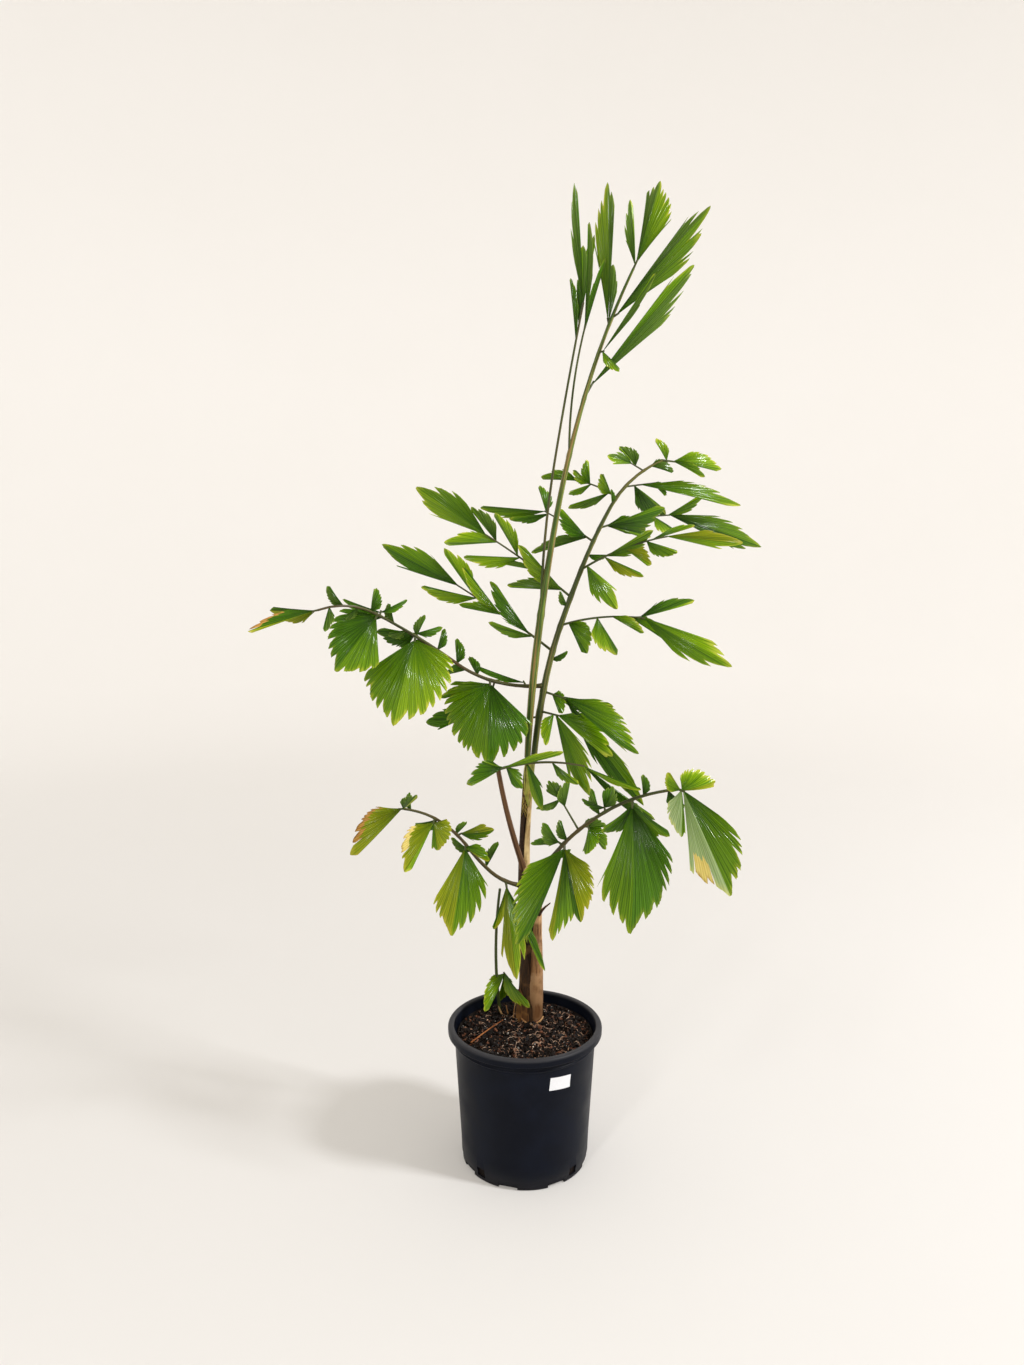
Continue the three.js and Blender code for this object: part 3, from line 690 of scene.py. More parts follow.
@dataclass
class Limb:
    """A stalk, rib or trunk: a centre line grown in equal steps, and a radius that tapers."""

    start: np.ndarray
    length: float
    bearings: tuple[float, ...]
    leans: tuple[float, ...]
    radii: tuple[float, ...]
    points: np.ndarray = field(init=False)

    def __post_init__(self) -> None:
        """Grows the centre line."""
        points = [np.array(self.start, float)]
        for step in range(GROWTH_STEPS):
            t = step / (GROWTH_STEPS - 1)
            stride = self.length / GROWTH_STEPS
            points.append(points[-1] + heading(stride, reading(self.bearings, t), reading(self.leans, t)))
        self.points = np.array(points)

    def at(self, t: float) -> np.ndarray:
        """Point on the centre line at t, 0 to 1."""
        steps = np.linspace(0, 1, len(self.points))
        return np.array([np.interp(t, steps, self.points[:, axis]) for axis in range(3)])

    def direction(self, t: float) -> np.ndarray:
        """Unit direction of growth at t, 0 to 1."""
        index = min(int(t * GROWTH_STEPS), GROWTH_STEPS - 1)
        return unit(self.points[index + 1] - self.points[index])

    def smooth_direction(self, t: float) -> np.ndarray:
        """Direction averaged over the steps on both sides of t."""
        reach = 1 / GROWTH_STEPS
        return unit(self.at(min(1, t + reach)) - self.at(max(0, t - reach)))

    def frame(self, t: float) -> tuple[np.ndarray, np.ndarray, np.ndarray]:
        """Along, sideways and frontways unit directions at t."""
        along = self.smooth_direction(t)
        side = unit(np.cross((0, 1, 0), along))
        return along, side, np.cross(along, side)

    def tube(
        self, sides: int, rings: int, swell: Callable[[float, np.ndarray], np.ndarray] | None = None
    ) -> tuple[np.ndarray, list[list[int]], np.ndarray, None, np.ndarray]:
        """Closed tapering tube along the limb.

        Args:
            sides: Corners round the tube.
            rings: Lengths along it.
            swell: Gives what is added to the radius at t for each angle round the tube.

        Returns:
            Points, faces, pattern coordinates in millimetres round and along, no undersides, and
            how far each point lies on the tube's right side, -1 to 1.
        """
        angles = np.linspace(0, 2 * np.pi, sides, endpoint=False)
        rows, uv = [], []
        for ring in range(rings + 1):
            t = ring / rings
            _, side, front = self.frame(t)
            radius = reading(self.radii, t) + (swell(t, angles) if swell else 0 * angles)
            out = np.outer(radius * np.cos(angles), side) + np.outer(radius * np.sin(angles), front)
            rows.append(self.at(t) + out)
            uv.append(np.column_stack([angles * reading(self.radii, 0), np.full(sides, t * self.length)]))
        faces = tube_faces(sides, rings)
        # The last array, how far each point faces right, becomes the shade attribute that paints light on the
        # right side of stalks and ribs.
        return np.vstack(rows), faces, np.vstack(uv), None, np.tile(np.cos(angles), rings + 1)


@dataclass(frozen=True)
class DryEnd:
    """Stretch of a leaflet's margin that has dried: from and to (-1 to 1), and how far in."""

    first: float
    last: float
    starts: float
    tone: Tone


@dataclass(frozen=True)
class Outline:
    """Margin of a kind of leaflet, as shares of its longest ray, the tail.

    The tail sits off the middle, on a side that is drawn. The rays fall off away from it by a
    power, and teeth about as wide as the pitch are torn out of them. The keel is the slope of
    both halves away from the tail, in degrees, and the hollow narrows the blade near its root.
    """

    tail: float
    fall: float
    power: float
    bite: float
    pitch: float
    keel: float
    hollow: float


# Broad end leaflet, one-sided side leaflet, still folded new leaflet, blade seen edge-on
FAN = Outline(0.3, 0.33, 1.2, 0.2, 17, 15, -0.05)
WEDGE = Outline(0.8, 0.28, 1.15, 0.14, 11, 15, 0.08)
COMB = Outline(0.5, 0.2, 1.3, 0.2, 9, 22, 0.1)
STRAP = Outline(0.7, 0.2, 1.4, 0.1, 8, 20, 0.0)


@dataclass
class Blade:
    """One leaflet: a thin closed sheet of fine rays, out to a torn margin."""

    root: np.ndarray
    reach: float
    width: float
    bearing: float
    outline: Outline
    lean: float
    roll: float
    seed: int

    THICKNESS = 0.34
    SAMPLE = 2.0
    FEWEST_RAYS = 8
    POINT = 0.06
    POINT_WIDTH = 7.0
    TOOTH_WIDTHS = (0.5, 1.5)
    TOOTH_DEPTHS = (0.3, 1.0)
    TOOTH_POWER = 2.4
    JITTER = 0.015
    RIB_SPACING = 4.0
    PLEAT_SPACING = 7.0
    PLEAT = 0.55
    BULGE = (0.06, 0.15)
    SPREADS = (0.3, 1.5)
    WIDEST_TURN = 1.7
    TEETH_TAKE = 1.16
    FULL_TEETH = 75.0
    STEEPEST_FOLD = 38.0
    DRY_RAGGED = 0.04
    DRY_LIMITS = (0.1, 0.97)
    STEP_LENGTH = 8
    STEPS = (6, 16)
    CROWDING = 0.9
    ROOT_SHARPNESS = 3
    KEEL_ROUND = 2
    WAVES = (3.4, 8)
    SECOND_WAVE = 0.6
    WAVE_SHARE = 0.013
    PLEATS_FULL = 1.6
    FACE_TO_LIGHT = np.array([0.1, -0.72, 0.68])

    def __post_init__(self) -> None:
        """Works out the rays, the torn margin and the blade's own draws."""
        self.random = np.random.default_rng(self.seed)
        shape = self.outline
        away = np.linspace(shape.tail - 1, shape.tail + 1)
        plain = np.ptp(away * (1 - shape.fall * np.abs(away) ** shape.power))
        widest = self.TEETH_TAKE * self.width / (self.reach * plain)
        self.spread = math.asin(min(WIDEST_SPREAD, widest))
        count = max(self.FEWEST_RAYS, round(2 * self.spread * self.reach / self.SAMPLE))
        tail = shape.tail * (1 if self.random.uniform() < 0.5 else -1)
        self.x = np.linspace(-1, 1, count + 1)
        self.x += tail - self.x[np.abs(self.x - tail).argmin()]
        self.off = (self.x - tail) * self.spread
        self.rays = self.reach * self.margin(tail)
        self.phases = self.random.uniform(0, 2 * np.pi, 3)
        self.shade = float(self.random.uniform(-1, 1))

    def margin(self, tail: float) -> np.ndarray:
        """Share of the tail's reach that each ray has, with teeth that lean toward the tail."""
        shape = self.outline
        arc = self.off * self.reach
        full = 1 - shape.fall * np.abs(self.x - tail) ** shape.power
        full -= self.POINT * (1 - np.exp(-(arc / self.POINT_WIDTH) ** 2))
        pitch = shape.pitch * min(1, self.reach / self.FULL_TEETH)
        for side in (-1, 1):
            away = side * arc
            teeth = int(away.max() / (pitch * self.TOOTH_WIDTHS[0])) + 2
            ends = np.cumsum(pitch * self.random.uniform(*self.TOOTH_WIDTHS, teeth))
            starts = np.concatenate([[0], ends[:-1]])
            depths = shape.bite * self.random.uniform(*self.TOOTH_DEPTHS, teeth)
            tooth = np.clip(np.searchsorted(ends, away), 0, teeth - 1)
            along = np.clip((away - starts[tooth]) / (ends - starts)[tooth], 0, 1)
            full -= np.where(away > 0, depths[tooth] * along ** self.TOOTH_POWER, 0)
        return full - self.JITTER * self.random.uniform(0, 1, len(full))

    def grow(self, sums: dict[Tone, MeshSum], tones: tuple[Tone, Tone], dry: DryEnd | None) -> None:
        """Adds the leaflet to the meshes of its tones.

        Args:
            sums: A mesh for each tone.
            tones: The tone of each half.
            dry: What has dried of it, if anything.
        """
        last = len(self.x) - 1
        middle = int(np.clip(self.rays.argmax(), 1, last - 1))
        dried = np.ones(last + 1)
        if dry:
            inside = (self.x >= dry.first) & (self.x <= dry.last)
            ragged = dry.starts + self.random.uniform(-self.DRY_RAGGED, self.DRY_RAGGED, last + 1)
            dried = np.where(inside, np.clip(ragged, *self.DRY_LIMITS), 1.0)
        halves = (0, middle, self.roll, tones[0]), (middle, last, -self.roll, tones[1])
        for start, stop, roll, tone in halves:
            part = slice(start, stop + 1)
            fold = float(np.clip(self.outline.keel + roll, -self.STEEPEST_FOLD, self.STEEPEST_FOLD))
            target = sums.setdefault(tone, MeshSum())
            self.sheet(target, part, np.zeros(stop + 1 - start), dried[part], fold)
            dead = np.flatnonzero(dried[part] < 1) + start
            if dry and len(dead) > 1:
                part = slice(dead[0], dead[-1] + 1)
                target = sums.setdefault(dry.tone, MeshSum())
                self.sheet(target, part, dried[part], np.ones(len(dead)), fold)

    def sheet(
        self, target: MeshSum, part: slice, inner: np.ndarray, outer: np.ndarray, fold: float
    ) -> None:
        """Adds some rays of one half as a closed thin sheet.

        Args:
            target: Mesh that it joins.
            part: Which rays.
            inner: Start of each ray, 0 to 1.
            outer: End of each ray, 0 to 1.
            fold: How far the half folds back, in degrees.
        """
        off, tail = self.off[part], math.radians(self.bearing)
        steps = int(np.clip(round(self.reach / self.STEP_LENGTH), *self.STEPS))
        bulge = float(np.interp(2 * self.spread, self.SPREADS, self.BULGE))
        v = inner[:, None] + (outer - inner)[:, None] * np.linspace(0, 1, steps + 1) ** self.CROWDING
        radius = self.rays[part][:, None] * v
        flat = off[:, None]
        turn = np.clip(flat * (1 - self.outline.hollow * (1 - v)), -self.WIDEST_TURN, self.WIDEST_TURN)
        rooted = LEAF_ROOT / 2 * np.tanh(self.ROOT_SHARPNESS * flat) * (1 - v)
        along, across = radius * np.cos(turn), radius * np.sin(turn) + rooted
        lean, slope = math.tan(math.radians(self.lean)), math.tan(math.radians(fold))
        depth = along * lean - slope * (np.hypot(across, self.KEEL_ROUND) - self.KEEL_ROUND)
        depth += bulge * self.reach * np.sin(np.pi * np.clip(radius / self.reach, 0, 1))
        first, second = (np.sin(w * flat + phase) for w, phase in zip(self.WAVES, self.phases))
        depth += self.WAVE_SHARE * self.reach * v ** 2 * (first + self.SECOND_WAVE * second)
        pleat = np.sin(2 * np.pi * flat * self.reach / self.PLEAT_SPACING + self.phases[2])
        depth += self.PLEAT * pleat * np.minimum(1, self.PLEATS_FULL * v)
        points = self.root + np.stack([
            along * math.cos(tail) - across * math.sin(tail), -depth,
            along * math.sin(tail) + across * math.cos(tail)], -1)
        rise = -lean, slope * (1 if off.mean() > 0 else -1)
        face = unit(np.array([
            rise[0] * math.cos(tail) - rise[1] * math.sin(tail), -1,
            rise[0] * math.sin(tail) + rise[1] * math.cos(tail)]))
        offset = face * self.THICKNESS / 2
        count = v.size
        index = np.arange(count).reshape(v.shape)
        upper = np.stack([index[:-1, :-1], index[1:, :-1], index[1:, 1:], index[:-1, 1:]], -1)
        upper = upper.reshape(-1, 4)[:, ::-1]
        loop = np.concatenate([index[:, 0], index[-1, 1:], index[-2::-1, -1], index[0, -2:0:-1]])[::-1]
        after = np.roll(loop, -1)
        walls = np.stack([loop, loop + count, after + count, after], -1)
        faces = np.vstack([upper, upper[:, ::-1] + count, walls]).tolist()
        vertices = np.vstack([(points + offset).reshape(-1, 3), (points - offset).reshape(-1, 3)])
        rib = np.broadcast_to(flat * self.reach / self.RIB_SPACING, v.shape)
        uv = np.column_stack([rib.ravel(), v.ravel()])
        lit = np.dot(face, self.FACE_TO_LIGHT) > 0
        under = np.concatenate([np.full(count, not lit), np.full(count, lit)]).astype(float)
        target.add(vertices, faces, np.vstack([uv, uv]), under, self.shade)


@dataclass(frozen=True)
class Stalk:
    """A frond's stalk: what carries it and where, and how it grows."""

    name: str
    length: float
    bearings: tuple[float, ...]
    leans: tuple[float, ...]
    radii: tuple[float, ...]
    on: str = ""
    place: float = 0.0
    aside: float = 0.0
    rise: float = 0.0
    foot: tuple[float, float, float] = (0.0, 0.0, 0.0)


@dataclass(frozen=True)
class Spray:
    """A side rib with its leaflets, by the rule of the solids.

    A leaflet is its place along the rib, reach, width, bearing and outline. The tones are dealt
    out to the halves in turn, and dry ends belong to a leaflet by its number.
    """

    name: str
    place: float
    length: float
    bearings: tuple[float, ...]
    leans: tuple[float, ...]
    radii: tuple[float, ...]
    lean: float
    roll: float
    leaflets: tuple[tuple[float, float, float, float, Outline], ...]
    # Tones are dealt to the halves in turn, so a dark and a bright green side by side paint shade and light
    # on a leaflet's fold.
    tones: tuple[Tone, ...] = (Tone.DEEP,)
    dry: dict[int, DryEnd] = field(default_factory=dict)


@dataclass
class Frond:
    """A leaf of the palm: its stalk, its side ribs and their leaflets."""

    stalk: Stalk
    sprays: tuple[Spray, ...]
    finish: StalkFinish
    slot: str
    seed: int
    small: int = 0
    rib_finish: StalkFinish = StalkFinish(
        "side_rib_smooth_skin", 0.45, green="#48522a", streak="#2c3418", brown="#54432a", painted_lit_side="#66703c")

    STALK_SIDES = 16
    STALK_RINGS = 80
    RIB_SIDES = 8
    RIB_RINGS = 16
    MATCH = 4.0
    SMALL_PLACES = (0.3, 0.96)
    SMALL_TURNS = (35, 80)
    SMALL_REACHES = (24, 44)
    SMALL_WIDTHS = (0.3, 0.5)
    SMALL_LEANS = (-30, 10)
    SMALL_ROLL = 8
    KNOT_LENGTH = 5
    KNOT_SWELL = 0.14
    MOST_KNOTS = 1.3
    FOOT_LENGTH = 14
    FOOT_SWELL = 0.5
    SKIN_RIDGES = 7
    SKIN_RIDGE = 0.035

    def grow_stalk(self, limbs: dict[str, Limb]) -> Limb:
        """Grows the stalk's centre line from what carries it.

        Args:
            limbs: Every limb grown so far, by name.

        Returns:
            The new limb, also kept among them.
        """
        row = self.stalk
        start = np.array(row.foot, float)
        if row.on:
            start = limbs[row.on].at(row.place) + np.array([row.aside, 0, row.rise])
        limbs[row.name] = Limb(start, row.length, row.bearings, row.leans, row.radii)
        return limbs[row.name]

    def stalk_swell(self, t: float, angles: np.ndarray) -> np.ndarray:
        """Swelling of the stalk where side ribs leave it, and its faint lengthwise ribs."""
        row = self.stalk
        along = t * row.length
        places = [spray.place * row.length for spray in self.sprays if spray.place < 1]
        knots = sum(math.exp(-((along - place) / self.KNOT_LENGTH) ** 2) for place in places)
        carried = self.FOOT_SWELL if row.on and row.place < 1 else 0.0
        foot = carried * math.exp(-(along / self.FOOT_LENGTH) ** 2)
        ridges = self.SKIN_RIDGE * np.sin(self.SKIN_RIDGES * angles)
        return reading(row.radii, t) * (self.KNOT_SWELL * min(knots, self.MOST_KNOTS) + foot + ridges)

    def grow_ribs(self, limbs: dict[str, Limb]) -> tuple[MeshSum, MeshSum]:
        """Grows the stalk and its side ribs.

        Args:
            limbs: Every limb grown so far, by name.

        Returns:
            The stalk's mesh and that of the ribs.
        """
        stalk = self.grow_stalk(limbs)
        target, ribs = MeshSum(), MeshSum()
        target.add(*stalk.tube(self.STALK_SIDES, self.STALK_RINGS, self.stalk_swell))
        for spray in self.sprays:
            start = stalk.at(spray.place)
            if spray.place == 1:
                start = start + stalk.direction(1) * STEM_RISE
            rib = Limb(start, spray.length, spray.bearings, spray.leans, spray.radii)
            limbs[spray.name] = rib
            ribs.add(*rib.tube(self.RIB_SIDES, self.RIB_RINGS))
        return target, ribs

    def swings(self, spray: Spray, rib: Limb) -> list[float | None]:
        """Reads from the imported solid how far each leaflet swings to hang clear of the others.

        Args:
            spray: The side rib's row.
            rib: Its limb.

        Returns:
            The lean of each leaflet, or None where the solid has none.
        """
        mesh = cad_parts[spray.name].data
        solid = np.empty(len(mesh.vertices) * 3, np.float32)
        mesh.vertices.foreach_get("co", solid)
        solid = solid.reshape(-1, 3) / MM
        found = []
        for index, (place, reach, _, bearing, _) in enumerate(spray.leaflets):
            lean = spray.lean + LEAN_SWING * math.sin((index + 1) * GOLDEN_TURN)
            gaps = [
                np.linalg.norm(solid - rib.at(place) - heading(reach, bearing, lean + swing), axis=1).min()
                for swing in CLEARING_SWINGS
            ]
            best = int(np.argmin(gaps))
            found.append(lean + CLEARING_SWINGS[best] if gaps[best] < self.MATCH else None)
        return found

    def small_leaflets(self, limbs: dict[str, Limb], sums: dict[Tone, MeshSum]) -> None:
        """Hangs the leaflets that are too small for the solids along the stalk, side by side.

        Args:
            limbs: Every limb grown so far, by name.
            sums: A mesh for each tone, which they join.
        """
        stalk = limbs[self.stalk.name]
        random = np.random.default_rng(self.seed)
        for index, place in enumerate(np.linspace(*self.SMALL_PLACES, self.small)):
            along = stalk.direction(place)
            side = 1 if index % 2 else -1
            turn = side * random.uniform(*self.SMALL_TURNS)
            bearing = math.degrees(math.atan2(along[2], along[0])) + turn
            reach, share = random.uniform(*self.SMALL_REACHES), random.uniform(*self.SMALL_WIDTHS)
            lean = random.uniform(*self.SMALL_LEANS)
            roll, seed = side * self.SMALL_ROLL, self.seed + index
            blade = Blade(stalk.at(place), reach, reach * share, bearing, WEDGE, lean, roll, seed)
            blade.grow(sums, (Tone.DEEP, Tone.SPEAR), None)

    def hang_leaflets(self, limbs: dict[str, Limb]) -> dict[Tone, MeshSum]:
        """Hangs every leaflet on its rib.

        Args:
            limbs: Every limb grown so far, by name.

        Returns:
            A joined mesh for each tone.
        """
        sums: dict[Tone, MeshSum] = {}
        for number, spray in enumerate(self.sprays):
            rib = limbs[spray.name]
            for index, lean in enumerate(self.swings(spray, rib)):
                if lean is None:
                    LOG.info("%s: leaflet %d is left out, as in its solid", spray.name, index)
                    continue
                place, reach, width, bearing, outline = spray.leaflets[index]
                side = 1 if index % 2 == 0 else -1
                roll = side * spray.roll + ROLL_SWING * math.sin((index + 1) * GOLDEN_TURN)
                seed = self.seed + 100 * number + index
                blade = Blade(rib.at(place), reach, width, bearing, outline, lean, roll, seed)
                halves = tuple(spray.tones[(2 * index + half) % len(spray.tones)] for half in (0, 1))
                blade.grow(sums, halves, spray.dry.get(index))
        self.small_leaflets(limbs, sums)
        return sums

    def build(self, limbs: dict[str, Limb], materials: dict[Tone, bpy.types.Material]) -> None:
        """Builds the frond's pieces in place of its solids.

        Args:
            limbs: Every limb grown so far, by name.
            materials: A material for each tone.
        """
        base = self.stalk.name.removesuffix("_stalk")
        stalk, ribs = self.grow_ribs(limbs)
        piece = stalk.piece(f"{base}_main_rib", self.finish, self.slot)
        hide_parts(self.stalk.name)
        if not self.sprays:
            return
        ribs.piece(f"{base}_side_ribs", self.rib_finish, self.slot)
        nodes = [spray.name for spray in self.sprays]
        for number, (tone, part) in enumerate(self.hang_leaflets(limbs).items()):
            name = f"{base}_leaflets_{tone.name.lower()}"
            piece = dressed(part.make(name), name, materials[tone], angle=60)
            if number == 0:
                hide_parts(*nodes)


T = Tone

SPEAR = Frond(
    Stalk("spear_stalk", 766, (87, 83, 80, 74, 65), (1,), (5, 6.2, 5, 4, 3.1, 2),
          on="trunk", place=1, aside=-5.2, rise=STEM_RISE),
    (
        Spray("spear_left_leaflets", 0.3, 470, (89, 81, 79), (1, 4), (2.2, 1.6), 0, 20, (
            (1, 160, 14, 96, WEDGE), (0.93, 142, 17, 80, WEDGE), (0.99, 81, 12, 91, STRAP),
            (0.88, 93, 10, 95, STRAP)), (T.DEEP, T.SPEAR, T.MIDDLE)),
        Spray("spear_middle_leaflets", 0.624, 190, (91, 76), (8, 10), (1.8, 1.4), 6, -20, (
            (0.96, 139, 10, 89, STRAP), (0.85, 132, 9, 74, STRAP)), (T.SPEAR, T.DEEP)),
        Spray("spear_tip_leaflets", 1, 14, (65,), (0,), (1.8, 1.4), 0, 25, (
            (0.4, 88, 16, 97, WEDGE), (0.7, 132, 44, 73, COMB)), (T.BRIGHT, T.SPEAR)),
        Spray("spear_top_leaflets", 0.885, 12, (98,), (-30,), (1.8, 1.4), -8, -18, (
            (0.8, 195, 30, 91, COMB), (0.5, 94, 12, 84, STRAP)), (T.SPEAR, T.BRIGHT, T.SPEAR)),
        Spray("spear_right_leaflets", 0.9, 12, (30,), (20,), (1.8, 1.4), 10, 15, (
            (0.6, 184, 40, 47, COMB),), (T.MIDDLE, T.SPEAR)),
        Spray("spear_low_leaflets", 0.74, 30, (60,), (-25,), (2, 1.5), -12, 20, (
            (0.8, 236, 32, 49, COMB),), (T.SPEAR, T.MIDDLE)),
        Spray("spear_small_leaflets", 0.83, 8, (10,), (30,), (1.6, 1.3), 25, 0, (
            (0.7, 114, 10, 54, STRAP), (0.7, 40, 13, -52, WEDGE)), (T.SPEAR, T.MIDDLE, T.BRIGHT)),
    ),
    StalkFinish("new_stalk_ribbed_skin", 0.45, green="#4b6626", streak="#243510", brown="#86703f",
                brown_share=0.24, painted_lit_side="#93a044"),
    "green_stalk", 1000,
)

MAIN = Frond(
    Stalk("main_frond_stalk", 532, (84, 79, 71, 68, 61, 26), (-6,), (5, 5.4, 4.6, 3.8, 2.9, 1.9),
          on="trunk", place=1, aside=5.2, rise=STEM_RISE),
    (
        Spray("main_frond_low_left", 0.123, 32, (193,), (-30,), (1.8, 1.4), -20, 10, (
            (0.8, 34, 24, 215, FAN),), (T.DEEP,)),
        Spray("main_frond_left_1", 0.323, 192, (143, 148, 149), (-26,), (2.2, 1.3), -12, 25, (
            (0.24, 106, 24, 127, WEDGE), (0.2, 76, 16, 165, WEDGE), (0.54, 96, 18, 129, WEDGE),
            (0.5, 76, 17, 167, WEDGE), (0.8, 95, 24, 123, WEDGE), (0.77, 95, 22, 169, WEDGE),
            (0.97, 152, 44, 153, FAN)), (T.MIDDLE, T.DEEP, T.BRIGHT)),
        Spray("main_frond_left_2", 0.494, 168, (140, 148), (-4, 26), (2, 1.2), 6, -25, (
            (0.1, 102, 24, 135, WEDGE), (0.1, 90, 20, 175, WEDGE), (0.64, 75, 20, 118, WEDGE),
            (0.61, 90, 21, 180, WEDGE), (0.88, 66, 21, 126, WEDGE), (0.86, 83, 22, 180, WEDGE),
            (1, 131, 48, 146, FAN), (0.4, 64, 10, 168, STRAP)), (T.MIDDLE, T.BRIGHT, T.SPEAR)),
        Spray("main_frond_left_3", 0.672, 91, (143, 149), (-40,), (1.8, 1.2), -18, 20, (
            (0.14, 64, 24, 136, WEDGE), (0.12, 93, 18, 195, WEDGE), (0.97, 45, 20, 103, WEDGE),
            (0.91, 66, 14, 188, WEDGE), (1, 110, 20, 176, WEDGE)), (T.MIDDLE, T.DEEP, T.SPEAR)),
        Spray("main_frond_left_4", 0.82, 71, (141, 169), (-28,), (1.6, 1.1), -8, -20, (
            (0.15, 36, 19, 118, WEDGE), (0.2, 69, 14, 200, WEDGE), (0.66, 39, 16, 100, WEDGE),
            (0.7, 33, 14, 140, WEDGE), (0.95, 60, 19, 173, WEDGE), (0.64, 40, 11, 204, STRAP)),
              (T.SPEAR, T.BRIGHT, T.MIDDLE)),
        Spray("main_frond_left_5", 0.935, 26, (153,), (25,), (1.5, 1.1), 20, 15, (
            (0.9, 42, 22, 167, FAN), (0.6, 40, 20, 132, WEDGE)), (T.SPEAR, T.BRIGHT)),
        Spray("main_frond_tip", 1, 30, (-6,), (-10,), (1.7, 1.2), -6, -15, (
            (0.2, 39, 14, 117, WEDGE), (0.6, 84, 26, -6, WEDGE), (0.6, 56, 14, -26, WEDGE)),
              (T.BRIGHT, T.TIPPED, T.MIDDLE)),
        Spray("main_frond_right_1", 0.2, 36, (-14,), (30,), (2, 1.5), 22, -15, (
            (0.4, 32, 22, -60, WEDGE), (0.5, 95, 22, -10, WEDGE), (1, 129, 42, -34, WEDGE),
            (1, 195, 36, -53, FAN)), (T.DEEP, T.MIDDLE)),
        Spray("main_frond_low_right", 0.14, 31, (-6,), (42,), (2, 1.5), 26, 15, (
            (0.8, 121, 40, -66, FAN), (0.9, 100, 38, -34, WEDGE), (0.7, 46, 20, -108, WEDGE)),
              (T.MIDDLE, T.BRIGHT, T.TIPPED)),
        Spray("main_frond_right_2", 0.404, 130, (19, -6), (20,), (2, 1.2), 10, 20, (
            (0.1, 55, 32, -58, WEDGE), (0.45, 68, 29, -62, WEDGE), (0.62, 54, 16, -26, WEDGE),
            (0.82, 66, 18, -30, WEDGE), (0.94, 89, 19, 18, WEDGE), (1, 142, 44, -29, FAN)),
              (T.DEEP, T.MIDDLE, T.TIPPED)),
        Spray("main_frond_right_3", 0.581, 135, (34, 11), (32,), (1.9, 1.2), 18, -20, (
            (0.32, 78, 22, 30, WEDGE), (0.3, 69, 17, -27, WEDGE), (0.53, 47, 23, -32, WEDGE),
            (0.78, 49, 20, -22, WEDGE), (0.84, 66, 10, 19, STRAP), (1, 101, 24, -6, FAN),
            (0.08, 84, 36, -55, FAN)), (T.MIDDLE, T.BRIGHT, T.OLIVE)),
        Spray("main_frond_right_4", 0.717, 128, (17, 4), (-34,), (1.8, 1.2), -18, 25, (
            (0.1, 100, 32, 17, WEDGE), (0.76, 48, 20, -32, WEDGE), (0.96, 72, 16, 29, WEDGE),
            (1, 180, 44, -17, FAN), (0.1, 78, 30, -13, WEDGE)), (T.DEEP, T.MIDDLE, T.TIPPED)),
        Spray("main_frond_right_5", 0.862, 56, (10,), (-45,), (1.6, 1.2), -26, -20, (
            (0.5, 180, 26, -10, WEDGE), (0.3, 76, 29, -36, WEDGE), (0.9, 32, 14, -36, WEDGE)),
              (T.TIPPED, T.MIDDLE, T.DEEP)),
    ),
    StalkFinish("grown_stalk_ribbed_skin", 0.48, green="#3c4a20", streak="#222c12", brown="#6a6236",
                brown_share=0.22, painted_lit_side="#8b8d3c"),
    "green_stalk", 3000, small=5,
)

LEFT = Frond(
    Stalk("left_frond_stalk", 367, (184, 164, 141, 144, 147, 195), (0, 18, 34, 34), (3, 2.6, 2.2, 1.6),
          on="main_frond_stalk", place=0.218),
    (
        Spray("left_frond_inner", 0.24, 9, (-90,), (25,), (2.2, 1.8), 12, 0, (
            (0.7, 124, 144, -91, FAN), (0.7, 84, 18, 195, WEDGE)), (T.MIDDLE, T.DEEP)),
        Spray("left_frond_root", 0.08, 9, (120,), (-30,), (1.8, 1.4), -14, 20, (
            (0.7, 86, 12, 162, WEDGE),), (T.DEEP,)),
        Spray("left_frond_under", 0.22, 84, (258, 205), (-22,), (1.8, 1.3), -8, 15, (
            (1, 64, 30, 188, FAN),), (T.DEEP,)),
        Spray("left_frond_middle", 0.61, 9, (-95,), (25,), (2, 1.7), 14, 0, (
            (0.7, 127, 124, -103, FAN),), (T.MIDDLE, T.BRIGHT)),
        Spray("left_frond_middle_back", 0.6, 9, (110,), (-30,), (1.8, 1.4), -16, -20, (
            (0.7, 62, 30, 178, WEDGE), (0.7, 40, 13, 10, WEDGE)), (T.DEEP,)),
        Spray("left_frond_outer", 0.78, 8, (-115,), (25,), (1.9, 1.6), 12, 0, (
            (0.7, 94, 90, -126, FAN),), (T.DEEP, T.MIDDLE)),
        Spray("left_frond_outer_back", 0.77, 8, (80,), (-25,), (1.7, 1.4), -12, 20, (
            (0.7, 60, 12, 162, WEDGE), (0.7, 42, 11, 24, WEDGE)), (T.DEEP,)),
        Spray("left_frond_tip", 1, 8, (190,), (20,), (1.5, 1.2), 10, 20, (
            (0.5, 93, 16, 197, WEDGE), (0.4, 66, 24, 180, WEDGE)), (T.DEEP, T.OLIVE),
              dry={0: DryEnd(-0.7, 0.7, 0.86, T.DRY)}),
    ),
    StalkFinish("old_stalk_ribbed_skin", 0.5, green="#3c4522", streak="#262c14", brown="#4f3d24",
                brown_share=0.35, painted_lit_side="#666a34"),
    "green_stalk", 5000, small=14,
)

